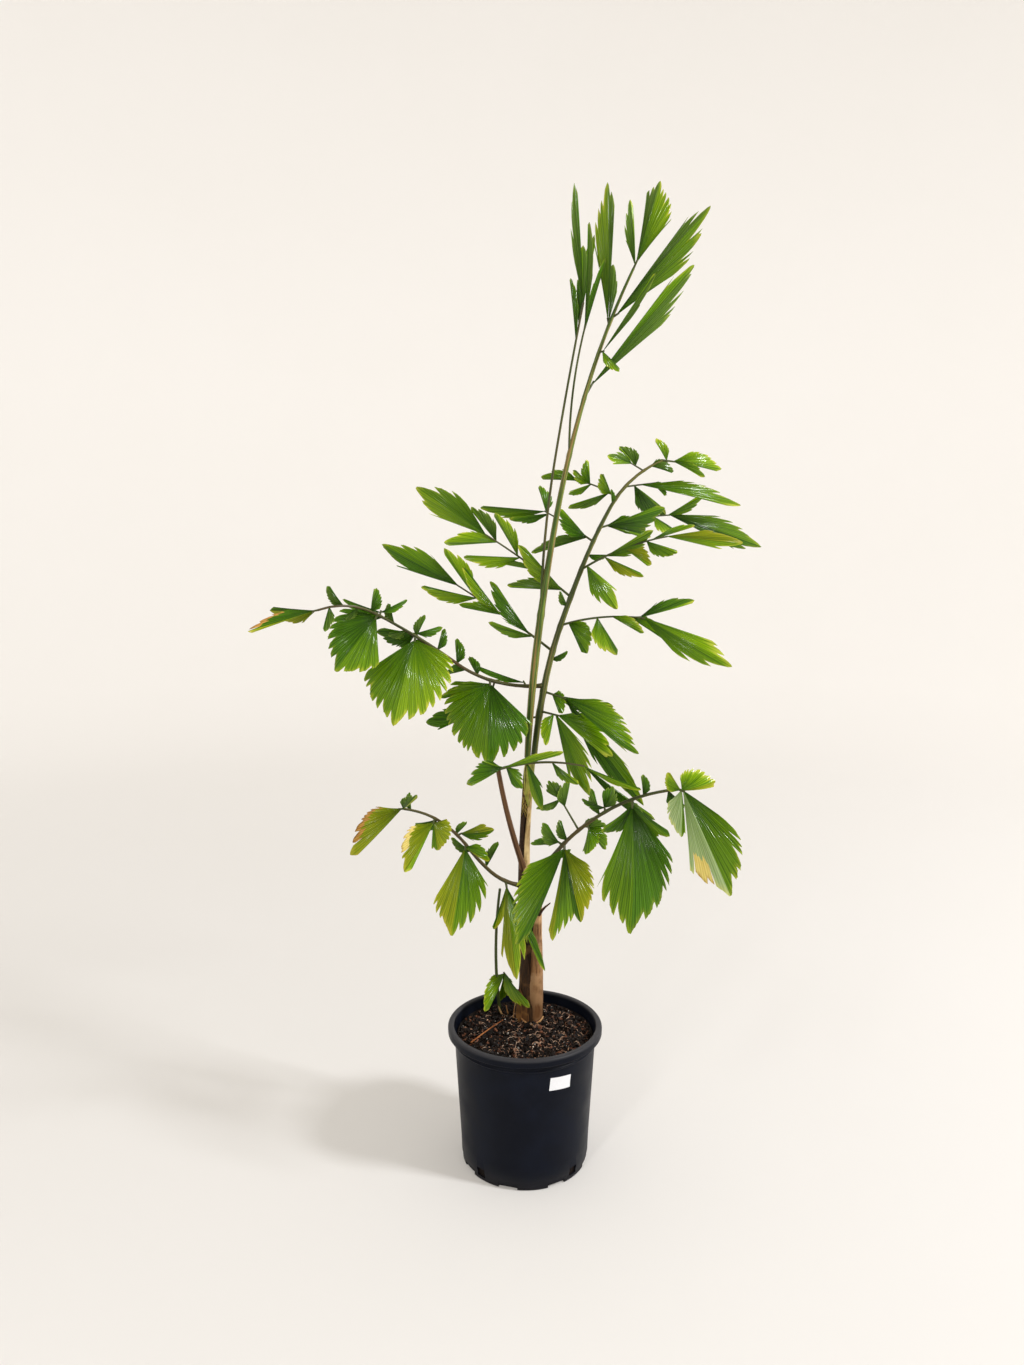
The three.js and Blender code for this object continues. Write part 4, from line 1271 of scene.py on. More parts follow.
FRONT = Frond(
    Stalk("front_frond_stalk", 196, (106, 98), (30,), (5, 3.6), on="trunk", place=0.584),
    (
        Spray("front_frond_leaflets", 1, 130, (18, -10), (8,), (2.4, 1.3), 10, 15, (
            (0.05, 56, 26, 200, WEDGE), (0.08, 36, 14, 168, WEDGE), (0.05, 96, 12, 20, STRAP),
            (0.1, 40, 22, -52, FAN), (0.34, 74, 20, -72, FAN), (0.63, 48, 14, -37, WEDGE),
            (1, 136, 14, -38, WEDGE), (0.98, 90, 10, -20, STRAP)), (T.DEEP, T.MIDDLE, T.BRIGHT)),
    ),
    StalkFinish("brown_stalk_dry_skin", 0.6, green="#4c3018", streak="#2a170c", brown="#5f4228",
                brown_share=0.5, painted_lit_side="#8a6240"),
    "trunk_fibre", 7000,
)

RIGHT = Frond(
    Stalk("right_frond_stalk", 316, (62, 60, 42, 16), (40, 36, 30), (3.6, 2.8, 2), on="trunk", place=0.51),
    (
        Spray("right_frond_inner", 0.385, 9, (-90,), (35,), (2.4, 2), 16, 0, (
            (0.8, 146, 50, -121, WEDGE), (0.8, 146, 46, -97, WEDGE), (0.8, 100, 42, -77, WEDGE)),
              (T.MIDDLE, T.DEEP, T.OLIVE)),
        Spray("right_frond_inner_back", 0.37, 9, (140,), (10,), (2, 1.6), 0, 20, (
            (0.8, 42, 22, 128, WEDGE), (0.8, 44, 14, 186, WEDGE)), (T.DEEP, T.SPEAR)),
        Spray("right_frond_upper_twig", 0.494, 54, (121,), (-12,), (1.7, 1.2), -10, 15, (
            (0.74, 41, 18, 84, WEDGE), (1, 30, 24, 126, FAN), (0.98, 40, 12, 202, WEDGE)),
              (T.SPEAR,)),
        Spray("right_frond_small_leaflets", 0.55, 8, (-70,), (20,), (1.8, 1.4), 5, -15, (
            (0.8, 38, 24, -97, WEDGE), (0.8, 44, 21, -52, WEDGE)), (T.SPEAR, T.MIDDLE)),
        Spray("right_frond_upright_leaflets", 0.66, 8, (100,), (-10,), (1.7, 1.4), -8, 10, (
            (0.8, 34, 27, 70, FAN), (0.8, 34, 12, 165, WEDGE)), (T.SPEAR, T.DEEP)),
        Spray("right_frond_middle", 0.8, 12, (-92,), (25,), (2, 1.7), 10, 0, (
            (0.9, 166, 100, -93, FAN), (0.6, 60, 28, -136, WEDGE), (0.6, 64, 28, -38, WEDGE)),
              (T.MIDDLE, T.DEEP)),
        Spray("right_frond_tip", 1, 9, (-20,), (18,), (1.9, 1.6), 4, 8, (
            (0.8, 152, 76, -66, FAN), (0.5, 50, 32, 14, WEDGE), (0.5, 62, 24, -92, WEDGE),
            (0.3, 34, 18, 128, WEDGE)), (T.PALE, T.MIDDLE, T.OLIVE, T.TIPPED),
              dry={0: DryEnd(-0.9, -0.5, 0.72, T.YELLOW)}),
    ),
    StalkFinish("right_stalk_ribbed_skin", 0.5, green="#414c22", streak="#283016", brown="#56462a",
                brown_share=0.3, painted_lit_side="#6e7236"),
    "green_stalk", 9000, small=7,
)

LOW_LEFT = Frond(
    Stalk("low_left_frond_stalk", 254, (166, 130, 117, 132, 160), (14, 36, 34), (3.4, 2.6, 1.8),
          on="trunk", place=0.52),
    (
        Spray("low_left_frond_middle", 0.53, 9, (-95,), (20,), (2, 1.7), 10, 0, (
            (0.8, 126, 78, -99, FAN), (0.5, 44, 18, -30, WEDGE)), (T.OLIVE, T.MIDDLE)),
        Spray("low_left_frond_upper", 0.62, 8, (20,), (-10,), (1.7, 1.4), -4, 15, (
            (0.8, 52, 30, 9, FAN),), (T.MIDDLE, T.OLIVE)),
        Spray("low_left_frond_wide", 0.81, 8, (-105,), (25,), (1.8, 1.5), 14, 0, (
            (0.8, 78, 36, -122, WEDGE), (0.8, 44, 34, -82, WEDGE)), (T.OLIVE, T.BRIGHT, T.MIDDLE),
              dry={0: DryEnd(-0.9, 0.3, 0.78, T.YELLOW)}),
        Spray("low_left_frond_tip", 1, 8, (175,), (15,), (1.6, 1.3), 6, 20, (
            (0.4, 96, 36, -140, WEDGE), (0.8, 66, 12, -150, STRAP), (0.1, 40, 16, 52, WEDGE)),
              (T.OLIVE, T.OLIVE, T.SPEAR), dry={0: DryEnd(-1, 0.6, 0.84, T.DRY)}),
        Spray("low_left_frond_root", 0.13, 10, (-80,), (35,), (2.2, 1.8), 16, 0, (
            (0.8, 132, 44, -83, FAN), (0.7, 76, 20, -106, WEDGE), (0.8, 130, 12, -62, STRAP)),
              (T.OLIVE, T.BRIGHT, T.DEEP)),
    ),
    StalkFinish("lower_stalk_ribbed_skin", 0.5, green="#444a24", streak="#2b2c18", brown="#4f3f26",
                brown_share=0.35, painted_lit_side="#6b6c38"),
    "green_stalk", 11000, small=5,
)

SUCKER = Frond(
    Stalk("sucker_stalk", 222, (97, 83), (1,), (2.8, 2.2), foot=(-41, 68, SOIL_LEVEL - SUNK)),
    (),
    StalkFinish("sucker_stalk_smooth_skin", 0.45, green="#45562a", streak="#2e3a1c", brown="#4f4528",
                brown_share=0.2, painted_lit_side="#6a763a"),
    "green_stalk", 13000,
)

SEEDLING = Frond(
    Stalk("seedling_stalk", 66, (88, 122), (14,), (2.6, 2), foot=(-14, 94, SOIL_LEVEL - SUNK)),
    (
        Spray("seedling_leaflets", 1, 8, (120,), (14,), (1.9, 1.5), 12, 0, (
            (0.6, 51, 24, -131, WEDGE), (0.7, 50, 22, -98, WEDGE), (0.7, 52, 25, -36, WEDGE)),
              (T.BRIGHT, T.MIDDLE)),
    ),
    StalkFinish("seedling_stalk_smooth_skin", 0.45, green="#5f7a2a", streak="#40581c", brown="#6b6030",
                brown_share=0.2, painted_lit_side="#84983c"),
    "green_stalk", 15000,
)

FRONDS = (SPEAR, MAIN, LEFT, FRONT, RIGHT, LOW_LEFT, SUCKER, SEEDLING)


@dataclass
class Trunk:
    """False stem of old leaf bases: a fibrous core that flares at the soil, and what clasps it."""

    core: Limb = field(default_factory=lambda: Limb(
        np.array([9, 49, SOIL_LEVEL - SUNK]), 451, (89, 95, 89, 84), (2,),
        (21, 15.5, 14, 12.5, 11.5, 11, 10.5, 10)))
    skin: tuple[float, ...] = (21, 15, 12, 9.6, 7.6, 6.2, 5.8, 6.2)
    cut_base: Limb = field(default_factory=lambda: Limb(
        np.array([16.5, 40, SOIL_LEVEL - SUNK]), 229, (89, 88, 88.5, 89), (1, 2, 5, 15),
        (12.5, 13.6, 12.2, 9.8, 7.2, 5.8, 6.6)))
    sides: int = 48
    rings: int = 90

    BROAD_FIBRES = (2.2, 55)
    FINE_FIBRES = (6, 40)
    FINE_SHARE = 0.7
    LAP_SLANT = 34
    LAP_TURN = 90
    LAP_HEIGHT = 62
    LAP_FADE = 0.7
    THREADS = 16
    THREAD_STEPS = 14
    THREAD_RADIUS = 0.42
    THREAD_STARTS = (0.76, 0.84)
    THREAD_RISE = 0.075
    THREAD_RAGGED = 0.004
    THREAD_STAND = 1.9
    THREAD_MIDDLE = 262
    THREAD_SWEEP = (-62, 74)

    def grown(self, limb: Limb, rings: int) -> bpy.types.Object:
        """Extrudes a tapering stem along a limb, in a number of rings."""
        places = [ring / rings for ring in range(rings + 1)]
        return lofted(self.sides, [limb.at(t) for t in places], [reading(limb.radii, t) for t in places])

    def relief(self, stem: bpy.types.Object, limb: Limb, depth: float, scar: float) -> None:
        """Raises upright fibres and slanting sheath edges on a stem.

        Args:
            stem: The stem, in metres.
            limb: The limb that it follows.
            depth: Height of the fibres in millimetres.
            scar: Height of the sheath edges in millimetres.
        """
        for vertex in stem.data.vertices:
            point = np.array(vertex.co) / MM
            t = np.clip((point[2] - limb.points[0][2]) / (limb.points[-1][2] - limb.points[0][2]), 0, 1)
            centre = limb.at(t)
            out = point - centre
            out[2] = 0
            radius = np.linalg.norm(out)
            if radius < 1:
                continue
            angle = math.atan2(out[1], out[0])
            height = point[2]
            broad, fine = (
                noise.noise(Vector((math.cos(angle) * crowd, math.sin(angle) * crowd, height / length)))
                for crowd, length in (self.BROAD_FIBRES, self.FINE_FIBRES)
            )
            edge = (height + self.LAP_SLANT * math.sin(angle + height / self.LAP_TURN)) / self.LAP_HEIGHT
            lap = scar * (edge - math.floor(edge)) * (1 - self.LAP_FADE * t)
            rise = depth * (broad + self.FINE_SHARE * fine) + lap
            vertex.co = Vector((point + out / radius * rise) * MM)

    def sheet_on(
        self, limb: Limb, name: str, rule: Callable[[float, float], tuple[float, float, float]],
        thickness: float, columns: int = 14, rows: int = 40,
    ) -> bpy.types.Object:
        """Bends a thin sheet round a limb.

        Args:
            limb: The limb that it clasps.
            name: Name of the sheet.
            rule: From across (-1 to 1) and up (0 to 1) to the place along the limb, the angle
                round it in degrees and the distance from its surface in millimetres.
            thickness: Thickness in millimetres.
            columns: Faces across.
            rows: Faces along.

        Returns:
            The closed sheet.
        """
        deselect()
        bpy.ops.mesh.primitive_grid_add(x_subdivisions=columns, y_subdivisions=rows, size=2)
        sheet = bpy.context.object
        sheet.name = name
        for vertex in sheet.data.vertices:
            across, up = vertex.co.x, (vertex.co.y + 1) / 2
            t, degrees, gap = rule(across, up)
            angle = math.radians(degrees)
            radius = float(reading(limb.radii, t)) + gap
            out = np.array([math.cos(angle), math.sin(angle), 0])
            vertex.co = Vector((limb.at(t) + out * radius) * MM)
        sheet.data.update()
        face_outward(sheet)
        apply_modifier(sheet, "SOLIDIFY", thickness=thickness * MM, offset=0)
        return sheet

    def build(self, limbs: dict[str, Limb]) -> None:
        """Builds the trunk, the cut frond base and the old sheaths.

        Args:
            limbs: Gets the trunk's limb, which carries the fronds.
        """
        limbs["trunk"] = self.core
        bark = FibreFinish("old_leaf_base_fibre", 0.8, dark="#120b06", middle="#3a2513", pale="#6d5028")
        tan = FibreFinish(
            "tan_sheath_dry_skin", 0.6, dark="#5c3c20", middle="#a67c4e", pale="#cba274", fibre_mm=2.2,
            stretch=0.04, pale_from=0.5, relief_mm=0.35, flecks=0.9, darker_foot_top_mm=400)
        skin = replace(self.core, radii=self.skin)
        core = self.grown(skin, self.rings)
        self.relief(core, skin, 1.0, 1.3)
        dressed(core, "trunk_core", bark.build())
        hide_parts("trunk")
        base = self.grown(self.cut_base, 60)
        self.relief(base, self.cut_base, 0.7, 0.4)
        dressed(base, "cut_base_sheath", tan.build())
        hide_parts("cut_leaf_base")
        self.dress_sheaths(skin)
        self.dress_edges(skin)
        self.dress_stub()

    def dress_sheaths(self, skin: Limb) -> None:
        """Adds the split sheaths that clasp the trunk.

        Args:
            skin: The trunk as it is seen.
        """
        dark = FibreFinish("dark_sheath_dry_fibre", 0.7, dark="#170d06", middle="#42290f", pale="#6e4c28",
                           fibre_mm=1.2, pale_from=0.68).build()
        straw = FibreFinish("straw_sheath_dry_skin", 0.6, dark="#6f5a34", middle="#a88c5a", pale="#c9b07e",
                            fibre_mm=1.6, stretch=0.04, pale_from=0.55, relief_mm=0.4).build()
        brown = FibreFinish("brown_flare_dry_skin", 0.65, dark="#2e1a0a", middle="#6b4620", pale="#8c6334",
                            fibre_mm=1.8, pale_from=0.62, flecks=0.6).build()
        green = FibreFinish("green_neck_fresh_skin", 0.5, dark="#39420f", middle="#77802a", pale="#a8a648",
                            fibre_mm=1.6, stretch=0.04, pale_from=0.5).build()
        rows = (
            ("left_sheath", 0.0, 0.36, 225, 52, 1.6, dark),
            ("back_sheath", 0.02, 0.5, 80, 75, 1.4, dark),
            ("low_left_flare", 0.0, 0.13, 212, 50, 3.2, brown),
            ("upper_left_sheath", 0.45, 0.98, 222, 40, 0.8, dark),
            ("upper_straw_sheath", 0.5, 0.93, 322, 56, 1.2, straw),
            ("top_sheath", 0.78, 1.0, 120, 80, 1.2, dark),
            ("green_neck_sheath", 1.0, 0.83, 290, 90, 1.3, green),
        )
        for name, low, high, centre, half, gap, material in rows:
            def rule(across: float, up: float) -> tuple[float, float, float]:
                """Narrows the sheath to a ragged point and lets its edges stand off."""
                narrow = (1 - up ** 2.6) + 0.06
                ragged = 0.03 * math.sin(17 * across + 5 * up)
                stand = gap + 1.1 * abs(across) ** 3 + 0.8 * up ** 4
                return low + (high - low) * (up + ragged * up), centre + half * across * narrow, stand

            dressed(self.sheet_on(skin, name, rule, 0.9), name, material)

    def dress_edges(self, skin: Limb) -> None:
        """Adds the crossing fibres at the neck, the rolled sheath edges at the foot and a torn hook.

        Args:
            skin: The trunk as it is seen.
        """
        random = np.random.default_rng(61)
        threads = MeshSum()
        count = self.THREAD_STEPS
        for index in range(self.THREADS):
            low, way = random.uniform(*self.THREAD_STARTS), 1 if index % 2 else -1
            angles = np.radians(self.THREAD_MIDDLE + way * np.linspace(*self.THREAD_SWEEP, count))
            ragged = random.uniform(-self.THREAD_RAGGED, self.THREAD_RAGGED, count)
            heights = low + self.THREAD_RISE * np.linspace(0, 1, count) + ragged
            out = np.column_stack([np.cos(angles), np.sin(angles), np.zeros(count)])
            radii = reading(skin.radii, heights) + self.THREAD_STAND
            line = np.array([skin.at(t) for t in heights]) + radii[:, None] * out
            threads.add(*tube_along(line, np.full(count, self.THREAD_RADIUS), 6))
        yellow = FibreFinish("neck_net_fibre", 0.7, dark="#7a6428", middle="#b59c4c", pale="#d0bb6c")
        threads.piece("neck_fibres", yellow, "trunk_fibre")
        edges = MeshSum()
        curl = [(12 + 20 * math.cos(a), 41 + 20 * math.sin(a), 212.6 + 9 * math.cos(a) ** 2)
                for a in np.radians(np.linspace(202, 340, 22))]
        edges.add(*tube_along(np.array(curl), reading((1, 1.9, 1.3), np.linspace(0, 1, 22)), 8))
        for ends, thick in (
            (((-19, 42, 210), (-17, 40, 232), (-11.5, 41, 262)), 1.1),
            (((7, 27, 211), (3, 29, 228), (-3, 32, 246)), 1.3),
            (((-37, 60, 210), (-41, 62, 217), (-44, 66, 224)), 2.0),
            (((-27, 57, 210), (-29, 58, 219), (-31, 62, 227)), 1.8),
        ):
            line = spaced(ends, 10)
            edges.add(*tube_along(line, np.linspace(thick, thick * 0.35, 10), 8))
        rolled = FibreFinish("rolled_sheath_edge", 0.6, dark="#6a4422", middle="#a97c4c", pale="#c9a272")
        edges.piece("rolled_edges", rolled, "trunk_fibre")
        hook = MeshSum()
        line = spaced(((23, 23, 401), (27, 17, 410), (33, 13, 418), (41, 12, 425)), 14)
        hook.add(*tube_along(line, np.linspace(3.2, 0.9, 14), 8))
        torn = FibreFinish("torn_sheath_hook_fibre", 0.75, dark="#1c1109", middle="#4a3018", pale="#7a5a34")
        hook.piece("torn_hook", torn, "trunk_fibre")

    def dress_stub(self) -> None:
        """Adds the cut face of the old frond: a pale ring round a dark red pith, and a pale wedge."""
        rind = FibreFinish("cut_stub_pale_rind", 0.6, dark="#8a5c3c", middle="#e6d2bc", pale="#f6ecde",
                           relief_mm=0.8).build()
        pith = FibreFinish("cut_stub_red_pith", 0.5, dark="#1e0805", middle="#4e160c", pale="#8a4028",
                           relief_mm=1.0).build()
        top, along = self.cut_base.at(1), self.cut_base.direction(1)
        toward = unit(np.array([-0.1, -0.4, 0.9]))
        centre = top + np.array([0.5, -2.5, 2.5])
        tilt = Vector(toward).to_track_quat("Z", "Y").to_euler()
        deselect()
        bpy.ops.mesh.primitive_torus_add(
            major_segments=48, minor_segments=14, major_radius=7.4 * MM, minor_radius=2.1 * MM,
            location=(centre + toward * 1.4) * MM, rotation=tilt,
        )
        ring = bpy.context.object
        deselect()
        bpy.ops.mesh.primitive_cylinder_add(
            vertices=40, radius=8.0 * MM, depth=5 * MM, location=(centre - toward * 1.0) * MM, rotation=tilt
        )
        core = bpy.context.object
        deselect()
        bpy.ops.mesh.primitive_cone_add(
            vertices=32, radius1=8.8 * MM, radius2=0.6 * MM, depth=30 * MM,
            location=(top - along * 14 + np.array([0, -3.6, 0])) * MM,
            rotation=Vector(-along).to_track_quat("Z", "Y").to_euler(),
        )
        wedge = bpy.context.object
        for piece, name, finish in (
            (ring, "stub_ring", rind), (core, "stub_pith", pith), (wedge, "stub_wedge", rind),
        ):
            select_only(piece)
            bpy.ops.object.transform_apply(location=True, rotation=True, scale=True)
            apply_modifier(piece, "SUBSURF" if piece is ring else "BEVEL",
                           **({"levels": 1} if piece is ring else {"width": 0.5 * MM, "segments": 2}))
            for vertex in piece.data.vertices:
                vertex.co += Vector(toward) * (0.9 * MM * noise.noise(vertex.co * 450))
            dressed(piece, name, finish)


@dataclass
class Pot:
    """Thin moulded nursery pot with a rolled lip, a band below it and notches in its foot."""

    rim_radius: float = 125
    height: float = 228
    rim_height: float = 13
    neck_radius: float = 114
    foot_radius: float = 102
    wall: float = 3
    floor: float = 4
    slots: int = 8
    slot_width: float = 31
    slot_depth: float = 16
    slot_height: float = 7
    slot_turn: float = -106
    sides: int = 144

    def arc(self, centre: tuple[float, float], radius: float, start: float, end: float) -> list:
        """Points of a quarter bend or less in the wall's section.

        Args:
            centre: Radius and height of its centre.
            radius: Its own radius.
            start: First angle in degrees, 0 outward and 90 up.
            end: Last angle.

        Returns:
            Pairs of radius and height.
        """
        turns = np.radians(np.linspace(start, end, 7))
        return [(centre[0] + radius * math.cos(a), centre[1] + radius * math.sin(a)) for a in turns]

    def section(self) -> list[tuple[float, float]]:
        """Section of the pot, from the edge of its underside, over the lip, to its floor."""
        lip = self.height - self.rim_height
        foot = self.foot_radius
        slope = (self.neck_radius - foot) / (lip - 12)
        step = 15.0
        points = self.arc((foot - 3.2, 3), 3, -90, 0)
        points += [(foot - 0.4 + slope * (step - 1), step - 1), (foot + 0.7 + slope * step, step + 0.6)]
        points += [(foot + slope * z, z) for z in (40, 80, 120, 160, 190)]
        points += [(self.neck_radius, lip - 13)]
        points += self.arc((self.neck_radius + 0.6, lip - 10.5), 1.6, -60, 60)
        points += [(self.neck_radius + 0.4, lip - 7.5), (self.neck_radius + 0.6, lip - 1.5)]
        points += [(self.neck_radius + 2.0, lip - 0.6), (self.rim_radius - 2.5, lip - 0.2)]
        points += self.arc((self.rim_radius - 1.8, lip + 1.6), 1.6, -80, 0)
        points += [(self.rim_radius - 0.1, lip + 6)]
        points += self.arc((self.rim_radius - 4.2, self.height - 4.2), 4.2, 0, 90)
        points += self.arc((self.rim_radius - 7.5, self.height - 2.6), 2.6, 95, 170)
        points += [(self.neck_radius + 0.8, self.height - 8), (self.neck_radius - 2.0, lip)]
        points += [(self.neck_radius - self.wall, lip - 12), (foot - self.wall, self.floor)]
        return points

    def cutter(self, angle: float, width: float, depth: float, low: float, high: float) -> None:
        """Adds a block that cuts a notch through the foot.

        Args:
            angle: Direction round the pot in degrees.
            width: Width of the notch.
            depth: Depth of the notch, across the wall.
            low: Height that it starts at.
            high: Height that it ends at.
        """
        turn = math.radians(angle)
        place = (self.foot_radius * math.cos(turn), self.foot_radius * math.sin(turn), (low + high) / 2)
        bpy.ops.mesh.primitive_cube_add(
            size=1, location=Vector(place) * MM, rotation=(0, 0, turn),
            scale=(depth * MM, width * MM, (high - low) * MM),
        )
        bpy.ops.object.transform_apply(location=True, rotation=True, scale=True)

    def build(self) -> None:
        """Builds the pot and its blank label."""
        section = self.section()
        pot = lofted(self.sides, [(0, 0, level) for _, level in section], [radius for radius, _ in section])
        self.notch(pot)
        plastic = PlasticFinish("moulded_polypropylene", 0.42)
        dressed(pot, "nursery_pot", plastic.build(), angle=40)
        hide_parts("pot")
        self.label(pot)

    def notch(self, pot: bpy.types.Object) -> None:
        """Cuts the notches and the small square holes out of the foot.

        Args:
            pot: The uncut pot.
        """
        deselect()
        cutters = []
        for index in range(self.slots):
            angle = self.slot_turn + index * 360 / self.slots
            self.cutter(angle, self.slot_width, self.slot_depth, -self.slot_height, self.slot_height)
            cutters.append(bpy.context.object)
            if index % 2:
                self.cutter(angle + 18, 16, 12, 7, 21)
                cutters.append(bpy.context.object)
        deselect()
        for block in cutters:
            block.select_set(True)
        bpy.context.view_layer.objects.active = cutters[0]
        bpy.ops.object.join()
        tool = bpy.context.object
        apply_modifier(pot, "BOOLEAN", operation="DIFFERENCE", solver="EXACT", object=tool, use_self=True)
        bpy.data.objects.remove(tool)

    def label(self, pot: bpy.types.Object) -> None:
        """Sticks a blank paper label on the wall, right of the front.

        Args:
            pot: The pot that it clings to.
        """
        centre, width, height, tilt = (-61.6, 177.5), 37, 21, -4.5
        turn = math.radians(centre[0])
        far = self.rim_radius + 6
        deselect()
        bpy.ops.mesh.primitive_grid_add(x_subdivisions=28, y_subdivisions=14, size=1)
        paper = bpy.context.object
        lean = math.radians(tilt)
        for vertex in paper.data.vertices:
            across, up = vertex.co.x * width, vertex.co.y * height
            across, up = (
                across * math.cos(lean) - up * math.sin(lean), across * math.sin(lean) + up * math.cos(lean),
            )
            angle = turn + across / (self.neck_radius - 1)
            vertex.co = Vector((far * math.cos(angle), far * math.sin(angle), centre[1] + up)) * MM
        apply_modifier(
            paper, "SHRINKWRAP", target=pot, wrap_method="NEAREST_SURFACEPOINT", offset=0.25 * MM,
            wrap_mode="ABOVE_SURFACE",
        )
        apply_modifier(paper, "SOLIDIFY", thickness=0.2 * MM, offset=0)
        dressed(paper, "blank_label", PaperFinish("coated_label_paper", 0.5).build())


@dataclass
class Soil:
    """Potting mix: a lumpy top with loose bark chips, white grains, fine roots and a twig."""

    radius: float = 109.6
    foot_radius: float = 99
    floor: float = 4.6
    level: float = SOIL_LEVEL
    sides: int = 120
    insets: int = 44
    inset: float = 2.4
    seed: int = 21

    LUMPS = ((2.6, 24, 3), (2.2, 7, 9), (1.0, 3, 1))
    SETTLED = 1.4
    HEAP_PLACE = (12, 50)
    HEAP_HEIGHT = 3.0
    HEAP_SPREAD = 1400
    CHIP_WIDTHS = (0.4, 0.8)
    CHIP_THICKNESSES = (0.2, 0.5)
    CHIP_WEAR = (-0.3, 0.15)
    CHIP_LEVELS = (-0.2, 1.8)
    CHIP_FLATNESS = 2.2
    CHIP_EDGE = 5
    ROOTS = 230
    ROOT_STEP = 1.9
    ROOT_STEPS = (5, 12)
    ROOT_BENDS = (-34, 34)
    ROOT_WANDER = (-24, 24)
    ROOT_LIFTS = (1.2, 3.0)
    ROOT_RADII = (0.25, 0.55)
    ROOT_EDGE = 7

    def surface(self, x: float, y: float) -> float:
        """Height of the lumpy top at a place."""
        rough = sum(
            height * noise.noise(Vector((x / width, y / width, layer))) for height, width, layer in self.LUMPS
        )
        away = math.hypot(x - self.HEAP_PLACE[0], y - self.HEAP_PLACE[1])
        heap = self.HEAP_HEIGHT * math.exp(-away ** 2 / self.HEAP_SPREAD)
        return self.level - self.SETTLED + rough + heap

    def build(self) -> None:
        """Builds the mix and what lies on it."""
        body = lofted(
            self.sides, ((0, 0, self.floor), (0, 0, self.level)), (self.foot_radius, self.radius),
            insets=self.insets, inset=self.inset,
        )
        for vertex in body.data.vertices:
            x, y, z = vertex.co / MM
            if z > self.level - 1 and math.hypot(x, y) < self.radius - 1:
                vertex.co.z = self.surface(x, y) * MM
        mix = CrumbFinish("damp_potting_mix", 0.8)
        dressed(body, "potting_mix_bed", mix.build(), angle=80)
        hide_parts("soil")
        kinds = (
            ("bark_chips_dark", 2300, (1.4, 4.2),
             CrumbFinish("composted_bark_dark", 0.45, dark="#090504", light="#1c110a")),
            ("bark_chips_brown", 560, (1.2, 3.6),
             CrumbFinish("composted_bark_brown", 0.55, dark="#1c0f0a", light="#6f4733")),
            ("bark_chips_pale", 110, (0.9, 2.6),
             CrumbFinish("fresh_bark_pale", 0.7, dark="#7a5642", light="#c79f82")),
            ("white_grains", 130, (0.6, 1.7),
             CrumbFinish("expanded_perlite", 0.85, dark="#b9b4aa", light="#efeae0", relief_mm=0.3)),
        )
        for number, (name, count, size, finish) in enumerate(kinds):
            self.scatter(name, count, size, finish, number)
        self.fine_roots()

    def scatter(
        self, name: str, count: int, size: tuple[float, float], finish: CrumbFinish, part: int
    ) -> None:
        """Scatters angular chips over the top.

        Args:
            name: Name of the joined piece.
            count: Number of chips.
            size: Smallest and largest half length in millimetres.
            finish: Their finish.
            part: Number of the kind, which sets its random draws.
        """
        random = np.random.default_rng(self.seed + part)
        corners = np.array([[i, j, k] for k in (-1, 1) for j in (-1, 1) for i in (-1, 1)], float)
        faces = [[0, 2, 3, 1], [4, 5, 7, 6], [0, 1, 5, 4], [2, 6, 7, 3], [0, 4, 6, 2], [1, 3, 7, 5]]
        target = MeshSum()
        for _ in range(count):
            radius = (self.radius - self.CHIP_EDGE) * math.sqrt(random.uniform(0, 1))
            turn = random.uniform(0, 2 * math.pi)
            x, y = radius * math.cos(turn), radius * math.sin(turn)
            half = random.uniform(*size) * np.array([
                1, random.uniform(*self.CHIP_WIDTHS), random.uniform(*self.CHIP_THICKNESSES)])
            shape = corners * half * (1 + random.uniform(*self.CHIP_WEAR, (8, 3)))
            axes = np.linalg.qr(random.normal(size=(3, 3)) + self.CHIP_FLATNESS * np.diag([0, 0, 1.0]))[0]
            if np.linalg.det(axes) < 0:
                axes[:, 0] *= -1
            place = np.array([x, y, self.surface(x, y) + random.uniform(*self.CHIP_LEVELS)])
            target.add(shape @ axes.T + place, faces, shade=random.uniform(-1, 1))
        target.piece(name, finish, "potting_mix", angle=20)

    def fine_roots(self) -> None:
        """Lays pale fine roots on the right and a reddish twig on the left."""
        random = np.random.default_rng(self.seed + 9)
        roots = MeshSum()
        for index in range(self.ROOTS):
            x, y = random.uniform(-20, 96), random.uniform(-98, 70)
            if index % 3 == 0:
                x = random.uniform(-90, 20)
            bearing, bend = random.uniform(0, 360), random.uniform(*self.ROOT_BENDS)
            line = [np.array([x, y, 0.0])]
            for _ in range(int(random.uniform(*self.ROOT_STEPS))):
                bearing += bend + random.uniform(*self.ROOT_WANDER)
                line.append(line[-1] + self.ROOT_STEP * np.array([
                    math.cos(math.radians(bearing)), math.sin(math.radians(bearing)), 0]))
            if max(math.hypot(*point[:2]) for point in line) > self.radius - self.ROOT_EDGE:
                continue
            lift = random.uniform(*self.ROOT_LIFTS)
            for step, point in enumerate(line):
                arch = lift * math.sin(math.pi * step / (len(line) - 1))
                point[2] = self.surface(point[0], point[1]) + arch + 0.6
            roots.add(*tube_along(np.array(line), np.full(len(line), random.uniform(*self.ROOT_RADII)), 5))
        pale = FibreFinish("fine_root_dry_skin", 0.7, dark="#6b4a36", middle="#b8957c", pale="#dcc0a8")
        roots.piece("fine_roots", pale, "potting_mix")
        twig = MeshSum()
        line = spaced(((-86, -44, 215.5), (-70, -22, 217.5), (-56, 0, 217.5), (-36, 30, 216.5)), 16)
        twig.add(*tube_along(line, np.linspace(1.2, 0.7, 16), 8))
        red = FibreFinish("twig_reddish_bark", 0.75, dark="#5a2c14", middle="#9a5a2e", pale="#b97a45")
        twig.piece("reddish_twig", red, "potting_mix")


